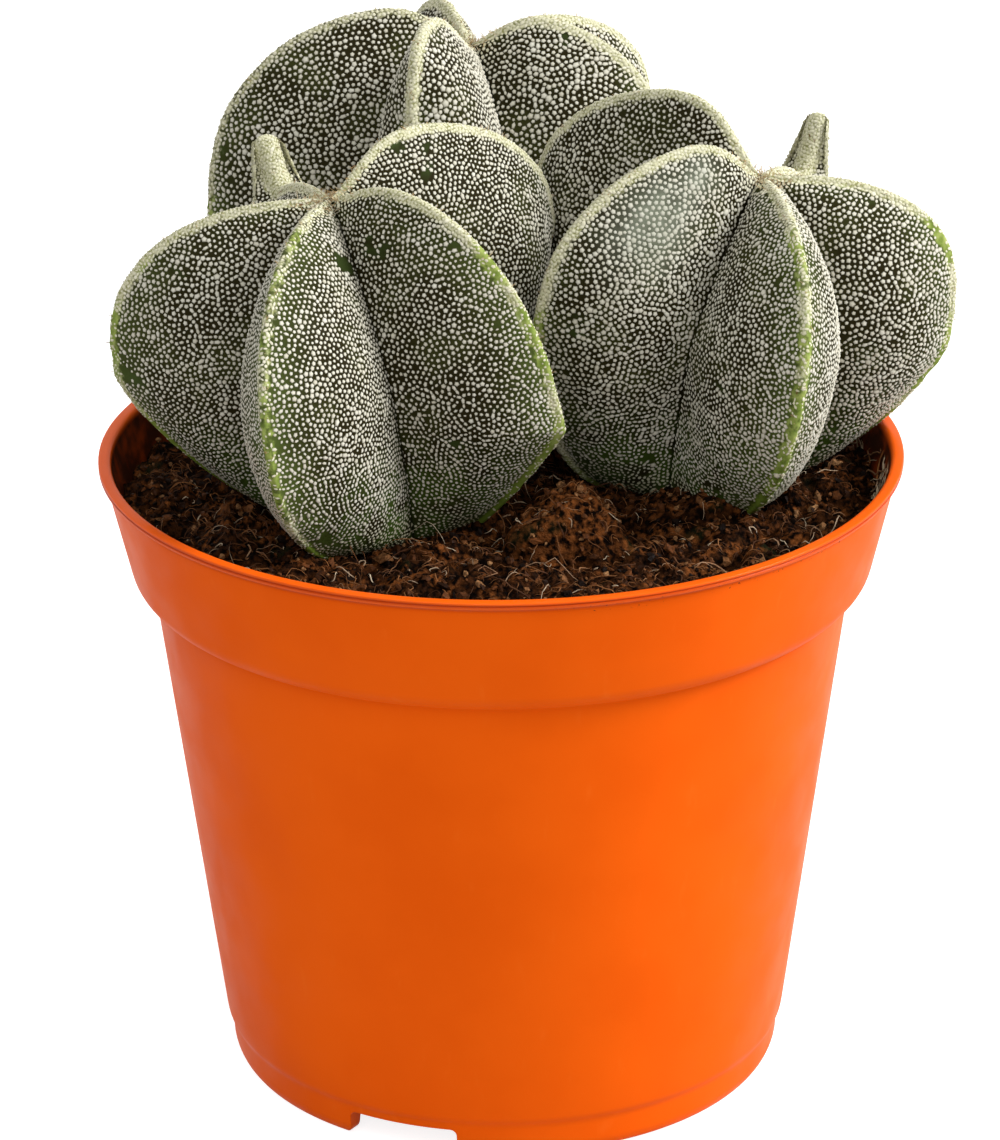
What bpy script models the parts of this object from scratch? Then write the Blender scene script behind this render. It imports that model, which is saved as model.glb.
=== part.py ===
"""A potted group of three bishop's cap cacti.

Three five-ribbed plants grow out of the soil of one round, tapered plastic nursery pot. The pot, the
soil and each plant are separate solids. Dimensions below are in millimetres, and the script scales
them to metres. The origin is on the pot's axis, in the plane that the pot stands on, and +Z is up.
"""

import math
from typing import NamedTuple

import bpy
import numpy as np
from mathutils import Matrix

MM = 0.001
GAP = 0.35

# Pot: a thin moulded shell with a rolled lip, a straight collar, a tapered body and a stepped foot.
# Each pair is how far an edge or a corner is rounded, across and up.
POT_HEIGHT = 68.8
POT_WALL = 0.8
LIP_RADIUS = 42.5
LIP_HEIGHT = 0.7
LIP_WIDTH = 1.2
LIP_ROUNDING = 0.4
LIP_UNDERCUT = (0.15, 0.2)
COLLAR_TOP_RADIUS = 41.75
COLLAR_FOOT_RADIUS = 39.3
COLLAR_FOOT_HEIGHT = 56.6
COLLAR_EDGE = (0.5, 0.9)
BODY_TOP_RADIUS = 37.0
BODY_TOP_HEIGHT = 54.8
BODY_FILLET = (0.3, 0.5)
BODY_FOOT_RADIUS = 30.6
BODY_FOOT_HEIGHT = 4.6
FOOT_TOP_RADIUS = 30.1
FOOT_TOP_HEIGHT = 3.8
FOOT_RADIUS = 29.4
FOOT_EDGE = (0.55, 1.0)
INSIDE_CORNER = (0.8, 1.2)
INSIDE_STEP = (0.6, 1.0)
INSIDE_LIP = (0.25, 0.4)
POT_STEPS = 64

# Drainage: a raised channel runs round the underside, inside the foot, and drains through its notches.
CHANNEL_OUTER_RADIUS = 28.2
CHANNEL_INNER_RADIUS = 21.2
CHANNEL_HEIGHT = 3.1
CHANNEL_DRAFT = 0.3
DRAIN_COUNT = 3
FIRST_DRAIN_TURN = 248.3
NOTCH_WIDTH = 12.0
NOTCH_HEIGHT = 3.0
NOTCH_BELOW = 3.0
NOTCH_DEPTH = 6.0
NOTCH_CORNER = 1.1
NOTCH_CORNER_STEPS = 3
HOLE_RADIUS = 1.8
HOLE_LENGTH = 4.0
HOLE_SPREAD = 7.0
HOLE_STEPS = 16

# Soil: it fills the pot to a little below the lip, and the plants stand in sockets in it.
SOIL_LINE = 62.5
SOIL_EDGE_HEIGHT = 63.4
SOIL_MIDDLE_HEIGHT = 63.9
SOIL_MIDDLE_SHARE = 0.6
SOIL_EDGE_FLARE = 1.3
SOCKET_WIDENING = 2.0

# Plants: every rib is a fat wedge with bulging sides that end in a narrow rounded ridge. Under the
# soil each plant narrows in a few steps, given as height and share of its section at the soil line.
STATIONS = 20
ROOT_SHAPE = ((61.2, 0.92), (59.8, 0.7), (58.8, 0.38))
ROOT_TIP_HEIGHT = 58.4
RIDGE_HALF_WIDTH = 0.6
RIDGE_DEPTH = 0.5
RIDGE_TAPER = 0.2
CROWN_DIP = 4.6
CROWN_DIP_POWER = 1.6
HORN_WIDTH = 2.0
HORN_POWER = 3.0
HORN_STEEPNESS = 7.0
HORN_ANGLE = 1.2
HORN_ANGLE_SPREAD = 0.5
GROOVE_FOOT = 8.0
GROOVE_UNDER = 2.0
FACE_BULGE = 2.3
FACE_SHARES = (0.33, 0.67, 0.88)
SHARP_ANGLE = math.radians(40.0)


class Rib(NamedTuple):
    """One rib: its turn about the plant's axis, in degrees from +X towards +Y, the reach and the
    height of its widest point, how far its ridge rises above the crown, its radius at the soil,
    and how square its ridge is above and below the widest point (2 is an ellipse). Then the radius
    of the dip to the crown, and the height and radius of a horn on the ridge and how much fatter
    the ridge is there, to each side."""

    turn: float
    reach: float
    widest: float
    rise: float
    foot: float
    over: float
    under: float
    dip: float = CROWN_DIP
    horn: float = 0.0
    horn_radius: float = 18.0
    stout: float = 0.0


class Plant(NamedTuple):
    """One plant: where its axis meets the soil, its crown, its groove radius and height, its ribs."""

    root: tuple
    crown: tuple
    groove: float
    groove_height: float
    groove_over: float
    ribs: tuple


PLANTS = {
    "cactus_front_left": Plant(
        root=(-12.0, -3.5),
        crown=(-17.5, -4.5, 98.0),
        groove=11.5,
        groove_height=79.5,
        groove_over=1.3,
        ribs=(
            Rib(36, 27.5, 90.0, 6.6, 10.0, 2.65, 1.15, 6.0),
            Rib(112, 22.4, 85.0, 0.0, 10.0, 2.05, 1.8, 4.6, 7.2, 18.9, 1.45),
            Rib(183, 25.6, 79.5, 0.2, 9.0, 2.25, 1.4),
            Rib(249.8, 25.7, 77.0, 0.6, 10.0, 2.2, 2.0),
            Rib(328, 24.5, 77.0, 3.8, 10.0, 2.4, 1.1, 5.5),
        ),
    ),
    "cactus_front_right": Plant(
        root=(21.7, 8.0),
        crown=(27.5, 5.0, 97.0),
        groove=12.0,
        groove_height=81.0,
        groove_over=1.35,
        ribs=(
            Rib(66, 17.6, 85.0, 0.0, 10.0, 1.9, 1.8, 4.6, 9.2, 15.8, 0.85),
            Rib(150, 26.5, 92.0, 8.9, 10.0, 2.5, 1.15, 5.6),
            Rib(208, 25.0, 85.5, 6.1, 10.0, 2.4, 1.7, 5.2),
            Rib(283, 25.5, 79.0, 0.5, 10.0, 2.2, 2.0),
            Rib(356.5, 23.4, 78.0, 0.3, 9.0, 2.65, 1.35),
        ),
    ),
    "cactus_back": Plant(
        root=(-4.0, 26.0),
        crown=(-3.0, 33.5, 103.0),
        groove=11.0,
        groove_height=87.0,
        groove_over=1.35,
        ribs=(
            Rib(33, 24.5, 90.0, 2.2, 9.5, 2.65, 1.5),
            Rib(112, 19.5, 88.0, 3.6, 8.5, 2.8, 1.3, 4.6, 0.0, 18.0, 1.0),
            Rib(181, 28.7, 85.5, 4.7, 10.0, 2.5, 1.8),
            Rib(250.5, 18.9, 95.0, 8.3, 10.0, 5.0, 1.2, 9.5, 0.0, 18.0, 0.12),
            Rib(347, 22.0, 92.0, 4.4, 9.5, 2.25, 1.1),
        ),
    ),
}


def clear_scene():
    """Removes every object that the scene starts with."""
    for obj in list(bpy.data.objects):
        bpy.data.objects.remove(obj, do_unlink=True)


def make_collection(name):
    """A new collection under the scene's own."""
    collection = bpy.data.collections.new(name)
    bpy.context.scene.collection.children.link(collection)
    return collection


def make_material(name, colour, roughness):
    """A plain Principled material that is not metal."""
    material = bpy.data.materials.new(name)
    material.use_nodes = True
    shader = material.node_tree.nodes["Principled BSDF"]
    shader.inputs["Base Color"].default_value = (*colour, 1.0)
    shader.inputs["Roughness"].default_value = roughness
    shader.inputs["Metallic"].default_value = 0.0
    material.diffuse_color = (*colour, 1.0)
    return material


def pot_plastic():
    """Satin orange polypropylene."""
    return make_material("orange_pot_plastic", (0.74, 0.17, 0.04), 0.42)


def potting_soil():
    """Dark brown peat and coir."""
    return make_material("potting_soil", (0.045, 0.02, 0.012), 0.95)


def cactus_skin():
    """Grey-green skin under a coat of white flecks."""
    return make_material("flecked_cactus_skin", (0.2, 0.21, 0.13), 0.75)


def add_object(name, mesh, collection, material=None):
    """Puts a mesh into a collection, shaded smooth between its sharp edges."""
    obj = bpy.data.objects.new(name, mesh)
    collection.objects.link(obj)
    if material:
        mesh.materials.append(material)
    mesh.shade_smooth()
    mesh.set_sharp_from_angle(angle=SHARP_ANGLE)
    return obj


def move_to(obj, collection):
    """Takes an object out of its collections and puts it into this one."""
    for old in list(obj.users_collection):
        old.objects.unlink(obj)
    collection.objects.link(obj)


def turned(name, profile, steps, collection, material):
    """Turns a profile of (radius, height) points, which starts and ends on the axis, about +Z."""
    mesh = bpy.data.meshes.new(name)
    points = [(radius * MM, 0.0, height * MM) for radius, height in profile]
    edges = [(i, i + 1) for i in range(len(points) - 1)]
    mesh.from_pydata(points, edges, [])
    obj = add_object(name, mesh, collection, material)
    screw = obj.modifiers.new("turn", "SCREW")
    screw.axis = "Z"
    screw.angle = math.tau
    screw.steps = steps
    screw.render_steps = steps
    screw.use_merge_vertices = True
    screw.merge_threshold = 0.00005
    return obj


def cut(obj, cutter):
    """Cuts one object out of another, and keeps the cutter as a hidden wire shape."""
    cutter.hide_render = True
    cutter.display_type = "WIRE"
    boolean = obj.modifiers.new("cut_" + cutter.name, "BOOLEAN")
    boolean.operation = "DIFFERENCE"
    boolean.solver = "EXACT"
    boolean.object = cutter


def pot_outside():
    """The pot's outer profile, from the top of the lip down, and in along the underside to the axis."""
    lip_foot = POT_HEIGHT - LIP_HEIGHT
    return [
        (LIP_RADIUS - LIP_WIDTH * LIP_ROUNDING, POT_HEIGHT),
        (LIP_RADIUS, POT_HEIGHT - LIP_HEIGHT * LIP_ROUNDING),
        (LIP_RADIUS - LIP_UNDERCUT[0], lip_foot),
        (COLLAR_TOP_RADIUS, lip_foot - LIP_UNDERCUT[1]),
        (COLLAR_FOOT_RADIUS, COLLAR_FOOT_HEIGHT),
        (COLLAR_FOOT_RADIUS - COLLAR_EDGE[0], COLLAR_FOOT_HEIGHT - COLLAR_EDGE[1]),
        (BODY_TOP_RADIUS + BODY_FILLET[0], BODY_TOP_HEIGHT + BODY_FILLET[1]),
        (BODY_TOP_RADIUS, BODY_TOP_HEIGHT),
        (BODY_FOOT_RADIUS, BODY_FOOT_HEIGHT),
        (FOOT_TOP_RADIUS, FOOT_TOP_HEIGHT),
        (FOOT_RADIUS + FOOT_EDGE[0], FOOT_EDGE[1]),
        (FOOT_RADIUS, 0.0),
        (CHANNEL_OUTER_RADIUS, 0.0),
        (CHANNEL_OUTER_RADIUS - CHANNEL_DRAFT, CHANNEL_HEIGHT),
        (CHANNEL_INNER_RADIUS, CHANNEL_HEIGHT),
        (CHANNEL_INNER_RADIUS - CHANNEL_DRAFT, 0.0),
        (0.0, 0.0),
    ]


def pot_inside(spacing=0.0):
    """The pot's inner profile, from the axis out over the channel and up the wall to the lip.

    With a spacing it is the outline of something that fills the pot that far off its wall.
    """
    inset = POT_WALL + spacing
    channel = CHANNEL_HEIGHT + inset
    lip_foot = POT_HEIGHT - LIP_HEIGHT
    return [
        (0.0, inset),
        (CHANNEL_INNER_RADIUS - inset - 2 * CHANNEL_DRAFT, inset),
        (CHANNEL_INNER_RADIUS - inset, channel),
        (FOOT_TOP_RADIUS - inset - INSIDE_CORNER[0], channel),
        (BODY_FOOT_RADIUS - inset, BODY_FOOT_HEIGHT + INSIDE_CORNER[1]),
        (BODY_TOP_RADIUS - inset, BODY_TOP_HEIGHT + BODY_FILLET[1]),
        (COLLAR_FOOT_RADIUS - inset - INSIDE_STEP[0], COLLAR_FOOT_HEIGHT),
        (COLLAR_FOOT_RADIUS - inset, COLLAR_FOOT_HEIGHT + INSIDE_STEP[1]),
        (LIP_RADIUS - LIP_WIDTH - INSIDE_LIP[0] - spacing, lip_foot - INSIDE_LIP[1]),
    ]


def lip_inside():
    """The rounded inner edge of the lip."""
    return [
        (LIP_RADIUS - LIP_WIDTH, POT_HEIGHT - LIP_HEIGHT * LIP_ROUNDING),
        (LIP_RADIUS - LIP_WIDTH * (1.0 - LIP_ROUNDING / 2), POT_HEIGHT),
    ]


def around(radius, turn, height):
    """The point at this radius and turn about the pot's axis, in metres."""
    return (radius * MM * math.cos(turn), radius * MM * math.sin(turn), height * MM)


def notch_cutter(number, turn, collection):
    """A round-cornered box that opens one drainage notch in the foot."""
    bpy.ops.mesh.primitive_cube_add(size=MM)
    notch = bpy.context.active_object
    notch.name = f"notch_cutter_{number}"
    size = (NOTCH_DEPTH, NOTCH_WIDTH, NOTCH_HEIGHT + NOTCH_BELOW, 1.0)
    notch.data.transform(Matrix.Diagonal(size))
    notch.location = around(FOOT_RADIUS, turn, (NOTCH_HEIGHT - NOTCH_BELOW) / 2)
    notch.rotation_euler = (0.0, 0.0, turn)
    bevel = notch.modifiers.new("round", "BEVEL")
    bevel.width = NOTCH_CORNER * MM
    bevel.segments = NOTCH_CORNER_STEPS
    move_to(notch, collection)
    return notch


def hole_cutter(number, turn, collection):
    """A cylinder that opens one round drain hole in the channel's roof."""
    bpy.ops.mesh.primitive_cylinder_add(
        vertices=HOLE_STEPS, radius=HOLE_RADIUS * MM, depth=HOLE_LENGTH * MM
    )
    hole = bpy.context.active_object
    hole.name = f"hole_cutter_{number}"
    middle = (CHANNEL_INNER_RADIUS + CHANNEL_OUTER_RADIUS) / 2
    hole.location = around(middle, turn, CHANNEL_HEIGHT + POT_WALL / 2)
    move_to(hole, collection)
    return hole


def make_pot(parts, cutters):
    """The moulded pot, with a notch and two drain holes at each third of its foot."""
    profile = pot_inside() + lip_inside() + pot_outside()
    pot = turned("pot", profile, POT_STEPS, parts, pot_plastic())
    for number in range(DRAIN_COUNT):
        turn = math.radians(FIRST_DRAIN_TURN) + math.tau * number / DRAIN_COUNT
        cut(pot, notch_cutter(number, turn, cutters))
        for side in (-1, 1):
            hole_turn = turn + side * math.radians(HOLE_SPREAD)
            cut(pot, hole_cutter(2 * number + (side + 1) // 2, hole_turn, cutters))


def superellipse(across, squareness):
    """Height of a unit superellipse at this distance across it: squareness 2 is a circle."""
    return (1.0 - across**squareness) ** (1.0 / squareness)


def ridge_line(plant, rib, angle):
    """Radius and height of a rib's ridge and of the horn on it, from the crown to the soil line.

    The angles run from 0 at the crown to pi at the soil line. Over the widest point the ridge is a
    superellipse that dips to the crown close to the axis, and a horn stands on it as a steep bell
    curve. Under the widest point it is a second superellipse that ends at the rib's foot.
    """
    across = np.clip(np.sin(angle), 0.0, 1.0)
    top = plant.crown[2] + rib.rise
    over_radius = rib.reach * across
    dip = rib.rise * np.exp(-((over_radius / rib.dip) ** CROWN_DIP_POWER))
    horn = rib.horn * np.exp(-(np.abs((over_radius - rib.horn_radius) / HORN_WIDTH) ** HORN_POWER))
    over_height = rib.widest + (top - rib.widest) * superellipse(across, rib.over) - dip
    under_radius = rib.foot + (rib.reach - rib.foot) * across
    under_height = rib.widest - (rib.widest - SOIL_LINE) * superellipse(across, rib.under)
    over = angle <= math.pi / 2
    return (
        np.where(over, over_radius, under_radius),
        np.where(over, over_height, under_height),
        np.where(over, horn, 0.0),
    )


def line_normal(radius, height):
    """Outward unit normals of a line of radius and height that runs down from the crown."""
    out, up = -np.gradient(height), np.gradient(radius)
    length = np.hypot(out, up)
    return out / length, up / length


def groove_line(plant, angle):
    """Radius and height of the grooves between the ribs, for the same angles as the ridges."""
    across = np.clip(np.sin(angle), 0.0, 1.0)
    middle = plant.groove_height
    over_height = middle + (plant.crown[2] - middle) * superellipse(across, plant.groove_over)
    under_radius = GROOVE_FOOT + (plant.groove - GROOVE_FOOT) * across
    under_height = middle - (middle - SOIL_LINE) * superellipse(across, GROOVE_UNDER)
    over = angle <= math.pi / 2
    return (
        np.where(over, plant.groove * across, under_radius),
        np.where(over, over_height, under_height),
    )


def axis_points(plant, height):
    """The points of the plant's leaning axis at these heights, as rows of x and y."""
    share = (height - SOIL_LINE) / (plant.crown[2] - SOIL_LINE)
    root = np.array(plant.root)
    lean = np.array(plant.crown[:2]) - root
    return root + share[:, None] * lean


def outline_points(plant, turn, radius, height, sideways=0.0):
    """Points at a radius and height on the side of the axis that faces the turn, moved sideways."""
    out = np.array((math.cos(turn), math.sin(turn)))
    left = np.array((-math.sin(turn), math.cos(turn)))
    flat = axis_points(plant, height) + radius[:, None] * out + sideways * left
    return np.column_stack((flat, height))


def face_points(groove, edge, bulge, lift):
    """Points across one face of a rib, from its groove to its ridge's edge.

    They are pushed sideways into a soft bulge, and close to the ridge they rise into its horn.
    """
    chord = edge - groove
    length = np.hypot(chord[:, 0], chord[:, 1])
    outward = np.column_stack((chord[:, 1], -chord[:, 0], 0.0 * length)) / length[:, None]
    rows = []
    for share in FACE_SHARES:
        push = bulge * math.sin(math.pi * share)
        raised = share**HORN_STEEPNESS * lift
        rows.append(groove + share * chord + push[:, None] * outward + raised)
    return rows


def groove_turn(first, second):
    """The turn of the groove between two neighbouring ribs, in radians."""
    step = (second.turn - first.turn) % 360.0
    return math.radians(first.turn + step / 2)


def plant_sections(plant, spacing):
    """The star-shaped sections of a plant, from under the crown to the soil line.

    Each section runs once round the plant: groove, face, ridge, face, for each rib in turn. With a
    spacing it is the outline of the socket that the plant stands in.
    """
    angle = np.linspace(0.0, math.pi, STATIONS + 1)[1:]
    bulge = FACE_BULGE * np.clip(np.sin(angle), 0.0, 1.0)
    groove_radius, groove_height = groove_line(plant, angle)
    widening = SOCKET_WIDENING * spacing
    groove_radius = groove_radius + widening
    groove_height = groove_height - spacing
    half = RIDGE_HALF_WIDTH + spacing
    root_to_crown = np.array(plant.crown) - np.array((*plant.root, SOIL_LINE))
    lean = root_to_crown / root_to_crown[2]
    rows = []
    for number, rib in enumerate(plant.ribs):
        before = groove_turn(plant.ribs[number - 1], rib)
        after = groove_turn(rib, plant.ribs[(number + 1) % len(plant.ribs)])
        turn = math.radians(rib.turn)
        radius, height, horn = ridge_line(plant, rib, angle)
        out, up = line_normal(radius, height + horn)
        lift = horn[:, None] * lean
        radius = radius + widening
        height = height - spacing
        stout = rib.stout * np.exp(-(((angle - HORN_ANGLE) / HORN_ANGLE_SPREAD) ** 2))
        half_width = np.minimum(half + stout, radius * RIDGE_TAPER)[:, None]
        start = outline_points(plant, before, groove_radius, groove_height)
        shoulder = radius - RIDGE_DEPTH * out, height - RIDGE_DEPTH * up
        right = outline_points(plant, turn, *shoulder, -half_width)
        left = outline_points(plant, turn, *shoulder, half_width)
        end = outline_points(plant, after, groove_radius, groove_height)
        rows.append(start)
        rows.extend(face_points(start, right, bulge, lift))
        rows.append(right + lift)
        rows.append(outline_points(plant, turn, radius, height) + lift)
        rows.append(left + lift)
        rows.extend(reversed(face_points(end, left, -bulge, lift)))
    return np.stack(rows, axis=1)


def root_sections(plant, last, spacing):
    """The sections of the root collar under the soil, which shrink towards the root's tip."""
    centre = np.array(plant.root)
    sections = []
    for height, share in ROOT_SHAPE:
        section = last.copy()
        section[:, :2] = centre + (last[:, :2] - centre) * share
        section[:, 2] = height - spacing
        sections.append(section)
    return np.stack(sections)


def plant_mesh(name, plant, spacing=0.0):
    """Lofts the star-shaped sections into one closed skin, from the crown to the root's tip."""
    above = plant_sections(plant, spacing)
    below = root_sections(plant, above[-1], spacing)
    sections = np.concatenate((above, below))
    rows, around_count = sections.shape[:2]
    crown = (*plant.crown[:2], plant.crown[2] - spacing)
    tip = (*plant.root, ROOT_TIP_HEIGHT - spacing)
    points = np.vstack((sections.reshape(-1, 3), crown, tip)) * MM
    crown_index = rows * around_count
    tip_index = crown_index + 1
    faces = []
    for column in range(around_count):
        beside = (column + 1) % around_count
        faces.append((crown_index, column, beside))
        for row in range(rows - 1):
            upper = row * around_count
            lower = upper + around_count
            faces.append((upper + column, lower + column, lower + beside, upper + beside))
        last = (rows - 1) * around_count
        faces.append((tip_index, last + beside, last + column))
    mesh = bpy.data.meshes.new(name)
    mesh.from_pydata(points.tolist(), [], faces)
    return mesh


def make_plants(parts):
    """The three plants, each one solid from its crown to its root collar."""
    skin = cactus_skin()
    for name, plant in PLANTS.items():
        add_object(name, plant_mesh(name, plant), parts, skin)


def make_soil(parts, cutters):
    """The soil, which fills the pot and has a socket for each plant."""
    bottom = pot_inside(GAP)[:-1]
    edge_radius = COLLAR_FOOT_RADIUS - POT_WALL - GAP + SOIL_EDGE_FLARE
    top = [
        (0.0, SOIL_MIDDLE_HEIGHT),
        (edge_radius * SOIL_MIDDLE_SHARE, SOIL_MIDDLE_HEIGHT),
        (edge_radius, SOIL_EDGE_HEIGHT),
    ]
    soil = turned("soil", top + bottom[::-1], POT_STEPS, parts, potting_soil())
    for name, plant in PLANTS.items():
        socket_name = "socket_of_" + name
        socket = add_object(socket_name, plant_mesh(socket_name, plant, GAP), cutters)
        cut(soil, socket)


def main():
    """Builds the pot, the soil and the plants."""
    clear_scene()
    parts = make_collection("potted_bishops_cap_cactus")
    cutters = make_collection("cutters")
    make_pot(parts, cutters)
    make_soil(parts, cutters)
    make_plants(parts)


main()
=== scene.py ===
import math
from typing import NamedTuple

import bpy
import numpy as np
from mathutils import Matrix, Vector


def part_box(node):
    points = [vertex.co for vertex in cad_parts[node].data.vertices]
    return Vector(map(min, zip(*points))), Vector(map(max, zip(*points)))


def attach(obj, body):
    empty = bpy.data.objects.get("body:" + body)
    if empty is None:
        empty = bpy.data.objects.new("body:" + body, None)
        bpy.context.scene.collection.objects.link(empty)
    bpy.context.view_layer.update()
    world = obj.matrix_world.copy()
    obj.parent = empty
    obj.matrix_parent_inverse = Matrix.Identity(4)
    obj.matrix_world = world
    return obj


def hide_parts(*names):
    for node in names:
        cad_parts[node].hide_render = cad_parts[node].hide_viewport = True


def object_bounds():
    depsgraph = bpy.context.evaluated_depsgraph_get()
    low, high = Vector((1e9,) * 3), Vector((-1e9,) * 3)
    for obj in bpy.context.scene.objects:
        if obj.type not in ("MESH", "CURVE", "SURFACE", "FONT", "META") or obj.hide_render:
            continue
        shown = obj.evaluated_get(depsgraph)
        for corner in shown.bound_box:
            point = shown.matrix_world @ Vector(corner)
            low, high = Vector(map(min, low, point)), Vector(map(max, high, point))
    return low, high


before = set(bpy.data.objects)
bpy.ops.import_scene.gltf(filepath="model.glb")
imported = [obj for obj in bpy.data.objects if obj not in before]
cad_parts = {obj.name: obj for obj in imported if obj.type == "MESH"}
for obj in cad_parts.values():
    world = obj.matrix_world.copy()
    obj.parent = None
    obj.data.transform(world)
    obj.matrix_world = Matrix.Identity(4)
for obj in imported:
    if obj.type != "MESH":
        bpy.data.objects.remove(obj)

cad_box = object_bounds()


# ---- Pot ------------------------------------------------------------------------------------------
# A round nursery pot, injection moulded in one piece from orange polypropylene with a satin surface.
# A rolled lip and a deep collar stiffen its thin wall. Its foot has three notches, and the raised
# channel inside the foot has drain holes, so that water runs out from under it.

# Lengths are in millimetres and turns in degrees. A pair is a radius and a height, unless its note says
# what it is.
MM = 0.001
POT_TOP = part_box("pot")[1].z / MM
LIP_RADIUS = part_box("pot")[1].x / MM
LIP_WIDTH = 1.45
LIP_FOOT = POT_TOP - 0.75
GLOSSY_LIP = (1.5, 1.2)  # width and depth
# Painted shade: darker bands in the lip's fine groove and in the recess under the lip.
LIP_SHADE_LINES = ((0.4, 1.0), (1.05, 0.6))  # depth under the top, and darkness
LIP_SHADE_REACH = 0.2
GRAINS_REACH = 0.5
GRAINS_START = 5.0
# Depth under the pot's top where the inner wall's soil stain and painted shade begin.
SOIL_AND_SHADE_TOP = 0.35
POT_WALL = 0.8
COLLAR_FOOT = (39.3, 56.6)
BODY_TOP = (37.0, 54.8)
BODY_FOOT = (30.6, 4.6)
FOOT_TOP = (30.1, 3.8)
FOOT_RADIUS = 29.4
CHANNEL = (21.2, 28.2, 3.1)  # inner and outer radius, and roof
NOTCH_TURNS = (248.3, 8.3, 128.3)
NOTCH_WIDTH = 12.0
NOTCH_HEIGHT = 3.0
NOTCH_LOWER_CORNER = 1.2
NOTCH_UPPER_CORNER = 0.7
NOTCH_COLUMNS = np.array((-1.2, -1.08, -0.85, -0.6, -0.35, -0.15, -0.04, 0.0, 0.02, 0.06, 0.18, 0.4, 0.7))
POT_COLUMNS = 150
HOLE_RADIUS = 1.8
HOLE_SPREAD = 7.0
OUTLINE_STEP = 4.0


def rounded_outline(corners):
    """Points along straight runs between (radius, height, rounding) corners. Each corner is an arc of a
    parabola that starts and ends its rounding away from it, and long runs are cut into short steps."""
    places = np.array(corners, float)
    found = [places[:1, :2]]
    for before, corner, after in zip(places[:-2], places[1:-1], places[2:]):
        here = corner[:2]
        back = before[:2] - here
        ahead = after[:2] - here
        reach = min(corner[2], 0.45 * np.hypot(*back), 0.45 * np.hypot(*ahead))
        start = here + back / np.hypot(*back) * reach
        end = here + ahead / np.hypot(*ahead) * reach
        t = np.linspace(0.0, 1.0, 4)[:, None]
        found.append((1 - t) ** 2 * start + 2 * t * (1 - t) * here + t**2 * end)
    found.append(places[-1:, :2])
    points = np.concatenate(found)
    run = np.hypot(*np.diff(points, axis=0).T)
    steps = np.maximum(1, np.ceil(run / OUTLINE_STEP)).astype(int)
    number = np.arange(steps.sum()) - np.repeat(np.cumsum(steps) - steps, steps)
    share = number / np.repeat(steps, steps)
    first = np.repeat(np.arange(len(run)), steps)
    line = points[first] + share[:, None] * (points[first + 1] - points[first])
    return np.vstack((line, points[-1:]))


def unevenness(points, size, seed):
    """Smooth random values from -1 to 1 at points. Corners of a lattice of this cell size hold mixed-up
    numbers, and each point blends its cell's eight corners along S-curves."""
    cell = np.asarray(points) / size + 1000.0
    base = np.floor(cell).astype(np.int64)
    part = cell - base
    part = part * part * (3 - 2 * part)
    total = np.zeros(cell.shape[:-1])
    for corner in np.ndindex(2, 2, 2):
        at = base + np.array(corner)
        mixed = at[..., 0] * 73856093 ^ at[..., 1] * 19349663 ^ at[..., 2] * 83492791 ^ (seed + 1) * 40503
        mixed = (mixed ^ (mixed >> 13)) * 1274126177 % 4294967296
        mixed = (mixed ^ (mixed >> 16)) * 2246822519 % 4294967296
        weight = np.prod(np.where(corner, part, 1 - part), axis=-1)
        total += weight * (mixed / 2147483648.0 - 1.0)
    return total


def turned(radius, height, turns):
    """A profile of radii and heights carried round the axis, as (row, turn) points."""
    height = height + 0.0 * turns
    return np.stack((radius * np.cos(turns), radius * np.sin(turns), height), axis=-1)


def ring_faces(rows, columns):
    """Corner numbers of the quads of a grid whose columns run once round, and of the fans that close
    its first and last row on two more points, which come after the grid's own."""
    corner = np.arange(rows * columns).reshape(rows, columns)
    beside = np.roll(corner, -1, axis=1)
    quads = np.stack((corner[:-1], corner[1:], beside[1:], beside[:-1]), axis=-1).reshape(-1, 4)
    first = np.full(columns, rows * columns)
    start = np.stack((first, corner[0], beside[0]), axis=-1)
    end = np.stack((first + 1, beside[-1], corner[-1]), axis=-1)
    return quads, np.concatenate((start, end))


def ring_map(rows, columns):
    """Map places for the corners of ring_faces: across by column and up by row, over the whole map."""
    row = np.arange(rows - 1)[:, None, None] + np.array((0, 1, 1, 0))
    column = np.arange(columns)[None, :, None] + np.array((0, 0, 1, 1))
    row, column = np.broadcast_arrays(row + 1.0, column)
    quads = np.stack((column / columns, row / (rows + 1)), axis=-1).reshape(-1, 4, 2)
    spot = np.arange(columns)[:, None]
    start = np.stack((spot + np.array((0.5, 0, 1)), 0 * spot + np.array((0, 1, 1))), axis=-1)
    end = np.stack((spot + np.array((0.5, 1, 0)), 0 * spot + np.array((rows + 1, rows, rows))), axis=-1)
    return quads, np.concatenate((start, end)) / np.array((columns, rows + 1.0))


def volume_inside(points, face_sets):
    """Signed volume: the sum over fans of triangles of the box product of their corners."""
    total = 0.0
    for faces in face_sets:
        for number in range(1, faces.shape[1] - 1):
            a, b, c = (points[faces[:, i]] for i in (0, number, number + 1))
            total += np.einsum("ij,ij->", a, np.cross(b, c))
    return total


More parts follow.
